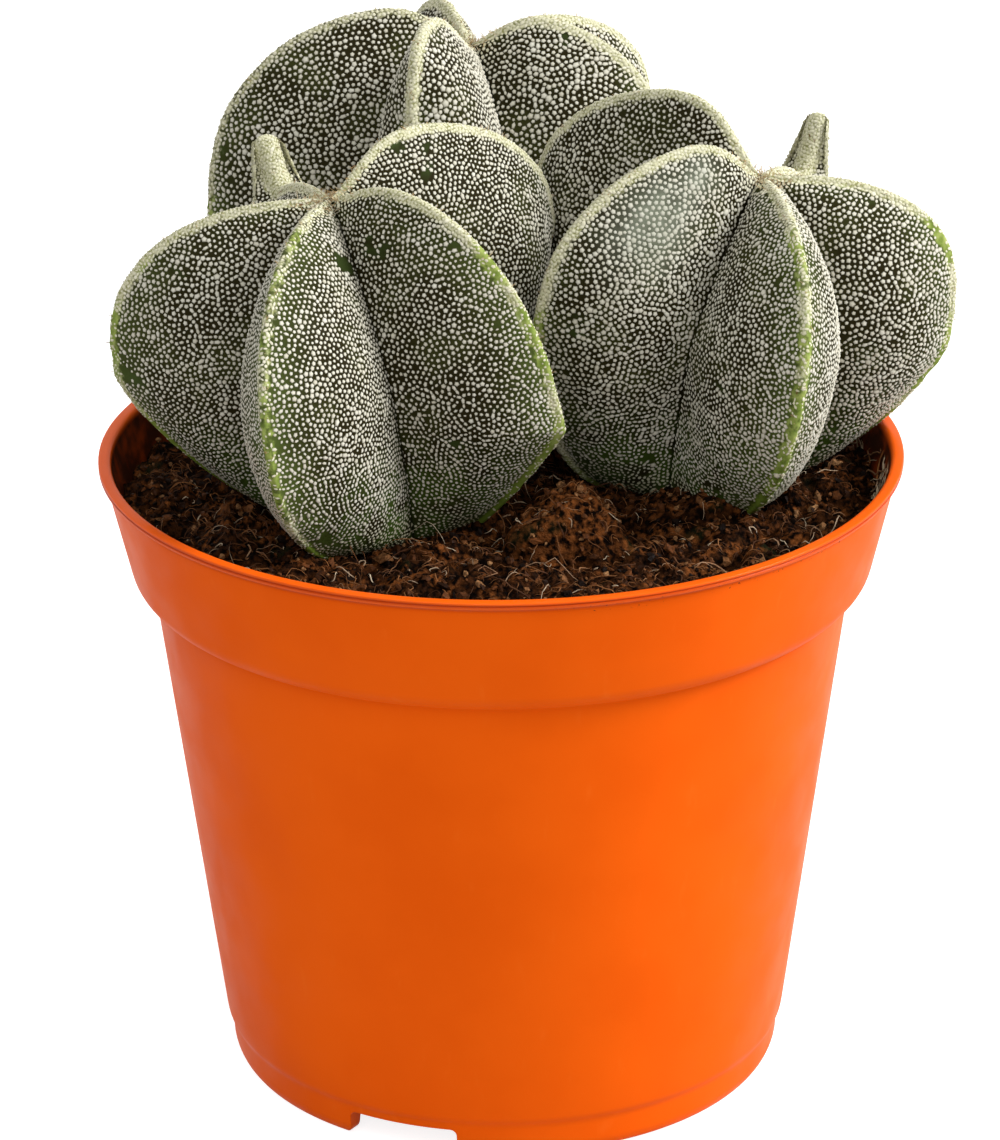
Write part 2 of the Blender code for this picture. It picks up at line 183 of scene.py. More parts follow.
def make_piece(name, points, face_sets, finish, marks, map_sets=None):
    """One closed object of points in millimetres. Each of face_sets has faces with one number of
    corners. They are turned to face outwards. marks are named values, one for each point, and map_sets
    has a map place for each corner."""
    if volume_inside(points, face_sets) < 0:
        face_sets = [faces[:, ::-1] for faces in face_sets]
        map_sets = map_sets and [places[:, ::-1] for places in map_sets]
    corners = np.concatenate([faces.ravel() for faces in face_sets])
    lengths = np.concatenate([np.full(len(faces), faces.shape[1]) for faces in face_sets])
    mesh = bpy.data.meshes.new(name)
    mesh.vertices.add(len(points))
    mesh.vertices.foreach_set("co", (points * MM).astype(np.float32).ravel())
    mesh.loops.add(len(corners))
    mesh.loops.foreach_set("vertex_index", corners.astype(np.int32))
    mesh.polygons.add(len(lengths))
    mesh.polygons.foreach_set("loop_start", (np.cumsum(lengths) - lengths).astype(np.int32))
    mesh.update(calc_edges=True)
    for mark, values in marks.items():
        layer = mesh.attributes.new(mark, "FLOAT", "POINT")
        layer.data.foreach_set("value", np.asarray(values, np.float32).ravel())
    if map_sets:
        layer = mesh.uv_layers.new(name="OFBake")
        places = np.concatenate([places.reshape(-1, 2) for places in map_sets])
        layer.data.foreach_set("uv", places.astype(np.float32).ravel())
    mesh.shade_smooth()
    mesh.materials.append(finish)
    piece = bpy.data.objects.new(name, mesh)
    bpy.context.scene.collection.objects.link(piece)
    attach(piece, "root")
    return piece


class Paint:
    """A finish laid on in coats over a first colour. Each coat covers a share of it, from 0 to 1, and the
    shares come from soft noise and from the marks on the mesh."""

    def __init__(self, name, colour):
        self.material = bpy.data.materials.new(name)
        self.material.use_nodes = True
        self.nodes = self.material.node_tree.nodes
        self.shader = self.nodes["Principled BSDF"]
        self.colour = colour

    def put(self, socket, value):
        """Sets a socket to a plain value or colour, or links another node's output to it."""
        if isinstance(value, bpy.types.NodeSocket):
            self.material.node_tree.links.new(value, socket)
        else:
            socket.default_value = (*value, 1.0) if socket.type == "RGBA" else value

    def noise(self, size, detail, stretch=(1.0, 1.0, 1.0)):
        """A soft random pattern from 0 to 1, with features of this size in millimetres."""
        mapping = self.nodes.new("ShaderNodeMapping")
        self.put(mapping.inputs["Vector"], self.nodes.new("ShaderNodeTexCoord").outputs["Object"])
        self.put(mapping.inputs["Scale"], stretch)
        noise = self.nodes.new("ShaderNodeTexNoise")
        self.put(noise.inputs["Vector"], mapping.outputs["Vector"])
        self.put(noise.inputs["Scale"], 1.0 / (size * MM))
        self.put(noise.inputs["Detail"], detail)
        return noise.outputs[0]

    def scaled(self, value, low, high, to_low=0.0, to_high=1.0):
        """A value carried from one range to another along an S-curve, and held at its ends."""
        node = self.nodes.new("ShaderNodeMapRange")
        node.interpolation_type = "SMOOTHSTEP"
        for socket, number in zip(node.inputs, (value, low, high, to_low, to_high)):
            self.put(socket, number)
        return node.outputs["Result"]

    def clouds(self, size, detail, *scale):
        """The soft random pattern, carried along such a scale."""
        return self.scaled(self.noise(size, detail), *scale)

    def mark(self, name, *scale):
        """The value that this mark has on the mesh, carried along a scale if one is given."""
        node = self.nodes.new("ShaderNodeAttribute")
        node.attribute_name = name
        return self.scaled(node.outputs["Fac"], *scale) if scale else node.outputs["Fac"]

    def combined(self, first, second, operation="MULTIPLY"):
        """Two values put together by one arithmetic operation."""
        node = self.nodes.new("ShaderNodeMath")
        node.operation = operation
        self.put(node.inputs[0], first)
        self.put(node.inputs[1], second)
        return node.outputs[0]

    def blend(self, share, first, second):
        """One colour changed into another by a share from 0 to 1."""
        node = self.nodes.new("ShaderNodeMix")
        node.data_type = "RGBA"
        for number, value in ((0, share), (6, first), (7, second)):
            self.put(node.inputs[number], value)
        return node.outputs[2]

    def coat(self, share, colour):
        """Covers a share of the colour so far with another."""
        self.colour = self.blend(share, self.colour, colour)

    def finished(self, roughness, specular, relief=None, depth=0.0):
        """The material, with its colour, roughness and specular level joined up, and a surface relief of
        this depth in millimetres from a height pattern."""
        self.put(self.shader.inputs["Base Color"], self.colour)
        self.put(self.shader.inputs["Roughness"], roughness)
        self.put(self.shader.inputs["Specular IOR Level"], specular)
        if relief is not None:
            node = self.nodes.new("ShaderNodeBump")
            self.put(node.inputs["Height"], relief)
            self.put(node.inputs["Distance"], depth * MM)
            self.put(self.shader.inputs["Normal"], node.outputs["Normal"])
        return self.material


def pot_plastic():
    """Satin orange polypropylene: nearly even in colour, with faint scuffs, and a glossier lip that has
    painted shade along its fine groove and in the recess under its foot. Soil clings to the wall
    inside, which is also painted darker all over as painted shade, and a few grains of it cling to the
    outside under the lip."""
    paint = Paint("orange_polypropylene", (0.83, 0.103, 0.0020))
    paint.coat(paint.clouds(14.0, 3.0, 0.3, 0.7), (0.88, 0.116, 0.0028))
    scuffs = paint.scaled(paint.noise(1.6, 4.0, (1.0, 1.0, 0.25)), 0.62, 0.8, 0.0, 0.35)
    paint.coat(scuffs, (0.90, 0.15, 0.012))
    grains = paint.combined(paint.clouds(0.4, 3.0, 0.65, 0.70), paint.mark("grains"))
    paint.coat(grains, (0.06, 0.02, 0.01))
    # Soil stain and painted shade: the whole inner wall is painted dark, part real soil and part the shade
    # inside the pot.
    stain_and_shade = paint.combined(paint.clouds(2.4, 5.0, 0.25, 0.6, 0.7, 1.0), paint.mark("soil_and_shade"))
    paint.coat(stain_and_shade, (0.050, 0.012, 0.005))
    # Painted shade: the lip's groove and the recess under it are painted darker orange.
    paint.coat(paint.combined(paint.mark("lip"), 0.8), (0.40, 0.030, 0.0010))
    paint.put(paint.shader.inputs["Coat Weight"], paint.mark("gloss", 0.0, 1.0, 0.0, 0.18))
    paint.put(paint.shader.inputs["Coat Roughness"], 0.15)
    paint.put(paint.shader.inputs["Specular Tint"], (1.0, 0.6, 0.35))
    return paint.finished(paint.clouds(5.0, 3.0, 0.3, 0.7, 0.42, 0.52), 0.045, paint.noise(0.35, 2.0), 0.006)


def notch_rise(turns):
    """How far the foot's edge is raised at each turn. It curves up from the floor along a quarter circle
    to each side of a notch, then from the side to the notch's roof along a smaller one."""
    off = np.stack([(turns - math.radians(t) + math.pi) % math.tau - math.pi for t in NOTCH_TURNS])
    inward = NOTCH_WIDTH / 2 - np.abs(off).min(axis=0) * FOOT_RADIUS
    lower = np.clip(1.0 + inward / NOTCH_LOWER_CORNER, 0.0, 1.0)
    upper = np.clip(1.0 - inward / NOTCH_UPPER_CORNER, 0.0, 1.0)
    outside = NOTCH_LOWER_CORNER * (1.0 - np.sqrt(1.0 - lower**2))
    inside = NOTCH_HEIGHT - NOTCH_UPPER_CORNER * (1.0 - np.sqrt(1.0 - upper**2))
    return np.where(inward > 0, inside, outside)


def pot_turns():
    """Turns of the pot's columns: even all round, with close columns at the sides of each notch."""
    even = np.linspace(0.0, math.tau, POT_COLUMNS, endpoint=False)
    sides = np.radians(NOTCH_TURNS)[:, None] + np.array((-1, 1)) * NOTCH_WIDTH / 2 / FOOT_RADIUS
    near = NOTCH_COLUMNS / FOOT_RADIUS
    close = (sides[:, :1] + near).ravel(), (sides[:, 1:] - near).ravel()
    return np.unique(np.round(np.concatenate((even, *close)) % math.tau, 5))


def pot_outline():
    """The pot's section as corners, up the inside from the axis, over the lip and down the outside. The
    lip has a fine groove round it, where the two halves of the mould met."""
    inner, outer, roof = CHANNEL
    return rounded_outline([
        (0.0, POT_WALL, 0.0),
        (inner - 1.4, POT_WALL, 0.8),
        (inner - 0.8, roof + POT_WALL, 0.5),
        (FOOT_TOP[0] - 1.6, roof + POT_WALL, 1.2),
        (BODY_FOOT[0] - POT_WALL, BODY_FOOT[1] + 1.2, 1.2),
        (BODY_TOP[0] - POT_WALL, BODY_TOP[1] + 0.4, 0.7),
        (COLLAR_FOOT[0] - 1.4, COLLAR_FOOT[1], 0.6),
        (COLLAR_FOOT[0] - POT_WALL, COLLAR_FOOT[1] + 1.0, 0.7),
        (LIP_RADIUS - LIP_WIDTH, LIP_FOOT - 0.3, 0.4),
        (LIP_RADIUS - 1.3, POT_TOP, 0.5),
        (LIP_RADIUS - 0.02, POT_TOP - 0.05, 0.25),
        (LIP_RADIUS, POT_TOP - 0.30, 0.05),
        (LIP_RADIUS - 0.14, POT_TOP - 0.40, 0.05),
        (LIP_RADIUS, POT_TOP - 0.50, 0.05),
        (LIP_RADIUS - 0.04, LIP_FOOT, 0.2),
        (LIP_RADIUS - 0.62, LIP_FOOT - 0.2, 0.12),
        (LIP_RADIUS - 0.7, LIP_FOOT - 0.75, 0.4),
        (COLLAR_FOOT[0], COLLAR_FOOT[1], 1.3),
        (COLLAR_FOOT[0] - 1.0, BODY_TOP[1] + 0.7, 0.5),
        (BODY_TOP[0] + 0.05, BODY_TOP[1] + 0.35, 0.3),
        (BODY_TOP[0], BODY_TOP[1] - 0.6, 0.5),
        (*BODY_FOOT, 0.8),
        (*FOOT_TOP, 0.8),
        (FOOT_RADIUS + 0.5, 1.0, 0.8),
        (FOOT_RADIUS, 0.0, 0.5),
        (outer, 0.0, 0.2),
        (outer - 0.3, roof, 0.3),
        (inner, roof, 0.3),
        (inner - 0.3, 0.0, 0.3),
        (0.0, 0.0, 0.0),
    ])


def pot_surface():
    """The outline carried round the axis. The wall leaves a true circle by less than 0.1 mm, and the
    foot ring is lifted to the height of the notches where they are."""
    turns = pot_turns()
    outline = pot_outline()
    radius, height = outline[1:-1].T[:, :, None] * np.ones(len(turns))
    radius = radius * (1.0 + 0.0012 * np.sin(2 * turns + 0.6) + 0.0006 * np.sin(5 * turns))
    foot_ring = (radius > CHANNEL[1] - 0.6) & (height < NOTCH_HEIGHT)
    height = np.where(foot_ring, np.maximum(height, notch_rise(turns)), height)
    ends = np.array([(0.0, 0.0, end) for end in outline[[0, -1], 1]])
    return turned(radius, height, turns), ends, ring_faces(*radius.shape)


def drill_holes(piece):
    """Cuts the drain holes through the roof of the channel, two at each notch."""
    middle = (CHANNEL[0] + CHANNEL[1]) / 2 * MM
    roof = (CHANNEL[2] + POT_WALL / 2) * MM
    for turn in NOTCH_TURNS:
        for side in (-HOLE_SPREAD, HOLE_SPREAD):
            at = math.radians(turn + side)
            bpy.ops.mesh.primitive_cylinder_add(
                vertices=32, radius=HOLE_RADIUS * MM, depth=4 * POT_WALL * MM,
                location=(middle * math.cos(at), middle * math.sin(at), roof),
            )
            drill = bpy.context.active_object
            hole = piece.modifiers.new("hole", "BOOLEAN")
            hole.operation = "DIFFERENCE"
            hole.solver = "EXACT"
            hole.object = drill
            drilled = piece.evaluated_get(bpy.context.evaluated_depsgraph_get())
            whole = bpy.data.meshes.new_from_object(drilled)
            piece.modifiers.clear()
            piece.data = whole
            bpy.data.objects.remove(drill, do_unlink=True)


pot_grid, pot_ends, pot_faces = pot_surface()
pot_radius = np.hypot(pot_grid[..., 0], pot_grid[..., 1])
pot_height = pot_grid[..., 2]
outside = (np.arange(len(pot_grid)) > np.argmax(pot_height[:, 0]))[:, None]
on_lip = (pot_height > POT_TOP - GLOSSY_LIP[1]) & (pot_radius > LIP_RADIUS - GLOSSY_LIP[0])
# Painted shade along the lip's groove and in the recess under the lip, on the outside rows.
lip_shade_lines = outside * sum(
    dark * np.exp(-(((pot_height - POT_TOP + depth) / LIP_SHADE_REACH) ** 2)) for depth, dark in LIP_SHADE_LINES
)
under_lip = outside & (np.abs(pot_height - POT_TOP + GLOSSY_LIP[1]) < GRAINS_REACH)
under_lip = under_lip & (pot_grid[..., 0] > GRAINS_START)
# The inner wall under the top is painted dark all over: part soil stain, part painted shade.
soil_and_shade = ~outside * np.clip((POT_TOP - SOIL_AND_SHADE_TOP - pot_height) / 0.5, 0.0, 1.0)
pot_marks = {
    mark: np.concatenate((values.ravel(), (0.0, 0.0)))
    for mark, values in (
        ("lip", lip_shade_lines), ("gloss", on_lip), ("grains", 0.9 * under_lip), ("soil_and_shade", soil_and_shade),
    )
}
pot_points = np.vstack((pot_grid.reshape(-1, 3), pot_ends))
pot = make_piece("moulded_pot", pot_points, pot_faces, pot_plastic(), pot_marks)
drill_holes(pot)
pot.data.set_sharp_from_angle(angle=math.radians(50))
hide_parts("pot")


# ---- Plants ---------------------------------------------------------------------------------------
# Three bishop's cap cacti, each one grown body of five fat ribs round a sunken crown. The olive-black
# skin is set all over with cream-white woolly flecks. Each rib ends in a narrow ridge, felted with the
# same wool and bright green where it is bare, and a few ribs stand up in a felted horn.

SOIL_LINE = 62.5
ROOT_TIP = 58.4
ROOT_SHAPE = ((62.0, 0.97), (61.2, 0.92), (59.8, 0.7), (58.8, 0.38))  # height, and share of the foot
GROOVE_FOOT = 8.0
HALF_RIB_TURN = math.radians(36)
CROWN_DIP_POWER = 1.6
HORN_WIDTH = 2.0
HORN_POWER = 3.0
HORN_STEEPNESS = 7.0
HORN_ANGLE = 1.2
HORN_ANGLE_SPREAD = 0.5
FACE_BULGE = 2.3
GROOVE_CREASE = 0.55
RIDGE_HALF_WIDTH = 0.5
RIDGE_ROUNDNESS = 0.9
RIDGE_TURNS = np.radians((-60, -28, 0, 28, 60))
SKIN_ROWS = 118
FACE_SHARES = np.array((
    0.0, 0.02, 0.05, 0.1, 0.18, 0.27, 0.37, 0.47, 0.57, 0.67, 0.77, 0.86, 0.93, 0.97, 1.0,
))
FAR = 99.0
FELT_REACH = 0.7
FELT_CLOSENESS = 0.33
FLUSH_REACH = 3.0
FRESH_GREEN = (76.5, 9.0)  # top, and depth to its full strength
CLOSER_FLECKS = (84.0, 14.0)  # top, and depth to the closest
SMALLER_FLECKS = (70.0, 7.0)  # top, and depth to the smallest
CROWN_FELT = (2.5, 3.5)  # reach, and how softly it ends
FELT_MIDDLE = 85.0
BARE_START = 0.95
BARE_LIMIT = 1.12
FELT_START = 0.55
FLECK_TALL = 0.48
FLECK_SUNK = 0.02
FLECK_SIDES = 5
FLECK_CELL = 0.866
GOLDEN_STEPS = (0.7548776662, 0.5698402910)  # down and across, as shares of the whole
PUSH_START = 0.55
PUSH_SHARE = 0.35
SPREAD_ROUNDS = 12
CROWN_HAIRS = 300
TUFT_HAIRS = 5
TUFT_SPACING = 3.4


class Rib(NamedTuple):
    """One rib: its turn about the plant's axis, in degrees, the reach and height of its widest point, how
    far its ridge rises over the crown, its radius at the soil, and how square its ridge is above and
    below the widest point (2 is an ellipse). Then the radius of the dip to the crown, the height and
    radius of a horn, how much fatter the ridge is there, and how woolly and how marked the ridge is,
    from 0 to 1."""

    turn: float
    reach: float
    widest: float
    rise: float
    foot: float
    over: float
    under: float
    dip: float = 4.6
    horn: float = 0.0
    horn_radius: float = 18.0
    stout: float = 0.0
    wool: float = 0.75
    edge: float = 1.0


class Plant(NamedTuple):
    """One plant: where its axis meets the soil, its crown, the radius and height of its grooves' widest
    point and how square they are above it, how far apart its flecks are and how much of that a fleck's
    radius is, and its ribs."""

    root: tuple
    crown: tuple
    groove: float
    groove_height: float
    groove_over: float
    fleck_spacing: float
    fleck_share: float
    ribs: tuple


PLANTS = {
    "front_left": Plant(
        root=(-12.0, -3.5), crown=(-17.5, -4.5, 98.0),
        groove=11.5, groove_height=79.5, groove_over=1.3, fleck_spacing=0.595, fleck_share=0.415,
        ribs=(
            Rib(36, 27.5, 90.0, 6.6, 10.0, 2.65, 1.15, dip=6.0, wool=0.6),
            Rib(112, 22.4, 85.0, 0.0, 10.0, 2.05, 1.8, horn=7.2, horn_radius=18.9, stout=1.45, wool=1.0),
            Rib(183, 25.6, 79.5, 0.2, 9.0, 2.25, 1.4, wool=0.6),
            Rib(249.8, 25.7, 77.0, 0.6, 10.0, 2.2, 2.0, wool=0.35, edge=0.7),
            Rib(328, 24.5, 77.0, 3.8, 10.0, 2.4, 1.1, dip=5.5, wool=0.25),
        ),
    ),
    "front_right": Plant(
        root=(21.7, 8.0), crown=(27.5, 5.0, 97.0),
        groove=12.0, groove_height=81.0, groove_over=1.35, fleck_spacing=0.615, fleck_share=0.45,
        ribs=(
            Rib(66, 17.6, 85.0, 0.0, 10.0, 1.9, 1.8, horn=9.2, horn_radius=15.8, stout=0.85, wool=1.0),
            Rib(150, 26.5, 92.0, 8.9, 10.0, 2.5, 1.15, dip=5.6, wool=0.85),
            Rib(208, 25.0, 85.5, 6.1, 10.0, 2.4, 1.7, dip=5.2, wool=0.8),
            Rib(283, 25.5, 79.0, 0.5, 10.0, 2.2, 2.0, wool=0.35, edge=0.85),
            Rib(356.5, 23.4, 78.0, 0.3, 9.0, 2.65, 1.35, wool=0.45),
        ),
    ),
    "back": Plant(
        root=(-4.0, 26.0), crown=(-3.0, 33.5, 103.0),
        groove=11.0, groove_height=87.0, groove_over=1.35, fleck_spacing=0.67, fleck_share=0.435,
        ribs=(
            Rib(33, 24.5, 90.0, 2.2, 9.5, 2.65, 1.5, wool=0.5),
            Rib(112, 19.5, 88.0, 3.6, 8.5, 2.8, 1.3, stout=1.0, wool=0.6),
            Rib(181, 28.7, 85.5, 4.7, 10.0, 2.5, 1.8, wool=0.5, edge=0.75),
            Rib(250.5, 18.9, 95.0, 8.3, 10.0, 5.0, 1.2, dip=9.5, stout=0.12, wool=1.0),
            Rib(347, 22.0, 92.0, 4.4, 9.5, 2.25, 1.1, wool=0.7),
        ),
    ),
}


def superellipse(across, squareness):
    """Height of a unit superellipse at this distance across it."""
    return (1.0 - across**squareness) ** (1.0 / squareness)


def ridge_line(plant, rib, angle):
    """Radius and height of a ridge and of the horn on it, for angles from 0 at the crown to pi at the soil
    line: a superellipse over the widest point, with a dip to the crown near the axis and a horn like a
    steep bell curve further out, and another superellipse under it to the foot."""
    across = np.clip(np.sin(angle), 0.0, 1.0)
    over_radius = rib.reach * across
    top = plant.crown[2] + rib.rise
    dip = rib.rise * np.exp(-((over_radius / rib.dip) ** CROWN_DIP_POWER))
    horn = rib.horn * np.exp(-(np.abs((over_radius - rib.horn_radius) / HORN_WIDTH) ** HORN_POWER))
    over_height = rib.widest + (top - rib.widest) * superellipse(across, rib.over) - dip
    under_height = rib.widest - (rib.widest - SOIL_LINE) * superellipse(across, rib.under)
    above = angle <= math.pi / 2
    radius = np.where(above, over_radius, rib.foot + (rib.reach - rib.foot) * across)
    return eased(radius), eased(np.where(above, over_height, under_height)), eased(np.where(above, horn, 0.0))


def eased(values):
    """Values with their corners eased: each becomes the weighted mean of itself and two on each side."""
    weights = np.array((1, 2, 3, 2, 1)) / 9.0
    mean = np.convolve(np.pad(values, 2, mode="edge"), weights, mode="valid")
    mean[:2], mean[-2:] = values[:2], values[-2:]
    return mean


def groove_line(plant, angle):
    """Radius and height of the grooves between the ribs, for the same angles as the ridges."""
    across = np.clip(np.sin(angle), 0.0, 1.0)
    middle = plant.groove_height
    over_height = middle + (plant.crown[2] - middle) * superellipse(across, plant.groove_over)
    under_height = middle - (middle - SOIL_LINE) * superellipse(across, 2.0)
    above = angle <= math.pi / 2
    under_radius = GROOVE_FOOT + (plant.groove - GROOVE_FOOT) * across
    radius = np.where(above, plant.groove * across, under_radius)
    return radius, np.where(above, over_height, under_height)


def beside_axis(plant, turn, radius, height, sideways=0.0):
    """Points at a radius on the side of the plant's leaning axis that faces the turn, moved sideways."""
    share = (height - SOIL_LINE) / (plant.crown[2] - SOIL_LINE)
    x, y = (root + share * (crown - root) for root, crown in zip(plant.root, plant.crown))
    x = x + radius * math.cos(turn) - sideways * math.sin(turn)
    y = y + radius * math.sin(turn) + sideways * math.cos(turn)
    return np.stack((x, y, height), axis=-1)


def rib_face(groove, edge, lift, angle, side):
    """One side of a rib, as (angle, share) points: straight lines from the groove to the ridge's edge,
    pushed outwards by a sine bulge, drawn in to a sharp crease at the groove, and lifted by the horn
    close to the ridge."""
    share = FACE_SHARES[None, :, None]
    chord = (edge - groove)[:, None, :]
    length = np.hypot(chord[..., 0], chord[..., 1])
    outward = np.stack((chord[..., 1], -chord[..., 0], 0 * length), axis=-1) / length[..., None] * -side
    swell = np.clip(np.sin(angle), 0.0, 1.0)[:, None, None]
    push = FACE_BULGE * np.sin(math.pi * share) * outward
    crease = GROOVE_CREASE * np.exp(-share / 0.03) * chord / np.maximum(length, 1.0)[..., None]
    raised = share**HORN_STEEPNESS * lift[:, None, :]
    return groove[:, None, :] + share * chord + swell * (push - crease) + raised


def face_distances(face):
    """Distance along the skin of every point of a face from its groove, and from its ridge: the sum of
    the steps to it."""
    steps = np.linalg.norm(np.diff(face, axis=1), axis=-1)
    away = np.pad(np.cumsum(steps, axis=1), ((0, 0), (1, 0)))
    return away, away[:, -1:] - away


def skin_grid(plant, seed):
    """The plant's skin as (row, column) points from crown to root, with marks for the ridges, the green
    flush beside them, the grooves, the wool and the felted horns. Each rib's columns run groove, face,
    round bead of the ridge, face. Ridges are nicked a little, and faces swell and sink."""
    angle = np.linspace(0.0, math.pi, SKIN_ROWS + 1)[1:]
    swell = np.clip(np.sin(angle), 0.0, 1.0)
    groove_at = groove_line(plant, angle)
    root_to_crown = np.subtract(plant.crown, (*plant.root, SOIL_LINE))
    between = [
        math.radians(rib.turn + (following.turn - rib.turn) % 360.0 / 2)
        for rib, following in zip(plant.ribs, plant.ribs[1:] + plant.ribs[:1])
    ]
    parts = {"points": [], "from_groove": [], "from_ridge": [], "horn": []}
    for number, rib in enumerate(plant.ribs):
        turn = math.radians(rib.turn)
        radius, height, horn = ridge_line(plant, rib, angle)
        out, up = -np.gradient(height + horn), np.gradient(radius)
        step = np.hypot(out, up)
        along = np.cumsum(step)
        trace = np.stack((along, 0 * along + 31 * number, 0 * along + seed), axis=-1)
        nick = 0.22 * np.abs(unevenness(trace, 2.6, seed)) + 0.08 * unevenness(trace, 0.9, seed)
        nick = nick + 0.28 * unevenness(trace, 6.5, seed + 10)
        radius = radius - swell * nick
        stout = np.exp(-(((angle - HORN_ANGLE) / HORN_ANGLE_SPREAD) ** 2))
        half = np.minimum(RIDGE_HALF_WIDTH + rib.stout * stout, 0.2 * radius)
        depth = RIDGE_ROUNDNESS * half
        inward, under = depth * out / step, depth * up / step
        edge_at = radius - inward, height - under
        lift = horn[:, None] * root_to_crown / root_to_crown[2]
        right, left = (
            rib_face(
                beside_axis(plant, between[groove], *groove_at),
                beside_axis(plant, turn, *edge_at, side * half),
                lift, angle, side,
            )
            for groove, side in ((number - 1, -1), (number, 1))
        )
        bead = lift[:, None] + np.stack([
            beside_axis(plant, turn, radius - flat * inward, height - flat * under, half * math.sin(lean))
            for lean, flat in zip(RIDGE_TURNS, 1 - np.cos(RIDGE_TURNS))
        ], axis=1)
        flat = np.ones(bead.shape[:2])
        finger = (horn / max(rib.horn, 1.0))[:, None]
        woolly = finger * np.minimum(1.0, 1.35 * FACE_SHARES**2)
        (right_in, right_out), (left_in, left_out) = face_distances(right), face_distances(left)
        for part, (first, middle, last) in (
            ("points", (right, bead, left)),
            ("from_groove", (right_in, FAR * flat, left_in)),
            ("from_ridge", (right_out, 0.0 * flat, left_out)),
            ("horn", (woolly, finger * flat, woolly)),
        ):
            parts[part] += [first, middle, last[:, :0:-1]]
    points, from_groove, from_ridge, horn = (np.concatenate(found, axis=1) for found in parts.values())
    edge, wool = (
        np.repeat(values, points.shape[1] // len(plant.ribs)) * np.ones(horn.shape)
        for values in ([rib.edge for rib in plant.ribs], [rib.wool for rib in plant.ribs])
    )
    marks = {
        "ridge": edge * np.exp(-((from_ridge / FELT_REACH) ** 1.5)),
        "flush": np.exp(-((from_ridge / FLUSH_REACH) ** 2)),
        "groove": np.exp(-from_groove / 0.5),
        "wool": wool,
        "horn": horn,
    }
    calm = (1 - marks["ridge"]) * (1 - marks["groove"]) * swell[:, None]
    wave = 0.22 * unevenness(points, 7.0, seed + 1) + 0.10 * unevenness(points, 2.8, seed + 2)
    points = points + (calm * wave)[..., None] * grid_normals(points)
    shape = np.array(ROOT_SHAPE)
    below = np.repeat(points[-1:], len(shape), axis=0)
    below[..., :2] = plant.root + (below[..., :2] - plant.root) * shape[:, 1, None, None]
    below[..., 2] = shape[:, 0, None]
    marks = {mark: np.pad(values, ((0, len(shape)), (0, 0)), mode="edge") for mark, values in marks.items()}
    return np.concatenate((points, below)), marks


def unit(vectors):
    """Vectors brought to a length of 1."""
    return vectors / np.maximum(np.linalg.norm(vectors, axis=-1, keepdims=True), 1e-9)


def grid_normals(points):
    """Outward unit normals of a grid that runs round in its columns, from the cross product of its
    differences along the two ways."""
    return unit(np.cross(np.gradient(points, axis=0), round_steps(points)))


def round_steps(points):
    """Differences of a grid along its columns, which run round."""
    return (np.roll(points, -1, axis=1) - np.roll(points, 1, axis=1)) / 2


def on_grid(values, row, column):
    """Values of a grid between its points, blended from the four nearest, running round in columns."""
    upper = np.clip(np.floor(row).astype(int), 0, values.shape[0] - 2)
    down = row - upper
    left = np.floor(column).astype(int)
    across = column - left
    left = left % values.shape[1]
    right = (left + 1) % values.shape[1]
    if values.ndim == 3:
        down = down[:, None]
        across = across[:, None]
    top = values[upper, left] * (1 - across) + values[upper, right] * across
    bottom = values[upper + 1, left] * (1 - across) + values[upper + 1, right] * across
    return top * (1 - down) + bottom * down


def even_places(points, spacing):
    """Rows and columns of as many places as the skin has room for at this spacing. They follow a two-way
    golden sequence, carried down the rows, and then along a row, by how much room lies before them."""
    patch = np.cross(np.diff(points, axis=0), round_steps(points)[:-1])
    room = np.linalg.norm(patch, axis=-1) / (FLECK_CELL * spacing[:-1] ** 2)
    number = np.arange(int(room.sum()))
    by_row = np.pad(np.cumsum(room.sum(axis=1)), (1, 0)) / room.sum()
    row = np.interp(number * GOLDEN_STEPS[0] % 1.0, by_row, np.arange(len(by_row)))
    by_column = np.cumsum(room, axis=1) / room.sum(axis=1, keepdims=True)
    ladder = np.arange(len(room))[:, None] + np.pad(by_column, ((0, 0), (1, 0)))
    steps = np.tile(np.arange(room.shape[1] + 1), len(room))
    whole = np.minimum(row.astype(int), len(room) - 1)
    return row, np.interp(whole + number * GOLDEN_STEPS[1] % 1.0, ladder.ravel(), steps)


def near_ones(centre, size):
    """The push that moves each place away from all that are nearer than the two's mean size, and the way
    from the nearest one. Places are sorted by cubes, so that three stacked cubes are one run of them."""
    cube = np.floor(centre / (1.15 * size.max())).astype(np.int64)
    cube -= cube.min(axis=0) - 2
    _, deep, tall = cube.max(axis=0) + 3
    key = (cube[:, 0] * deep + cube[:, 1]) * tall + cube[:, 2]
    order = np.argsort(key, kind="stable")
    ranked = key[order]
    push, way = np.zeros_like(centre), np.zeros_like(centre)
    best = np.full(len(centre), 9.0)
    for side in np.ndindex(3, 3):
        beside = key + ((side[0] - 1) * deep + side[1] - 1) * tall
        first = np.searchsorted(ranked, beside - 1)
        last = np.searchsorted(ranked, beside + 1, side="right")
        for number in range((last - first).max()):
            here = np.flatnonzero(first + number < last)
            mate = order[first[here] + number]
            here, mate = here[mate != here], mate[mate != here]
            gap = centre[here] - centre[mate]
            far = np.maximum(np.linalg.norm(gap, axis=1), 1e-6)
            short = np.maximum(0.0, PUSH_START * (size[here] + size[mate]) - far)
            push[here] += (short / far)[:, None] * gap
            nearer = far < best[here]
            best[here[nearer]] = far[nearer]
            way[here[nearer]] = gap[nearer]
    return push, way


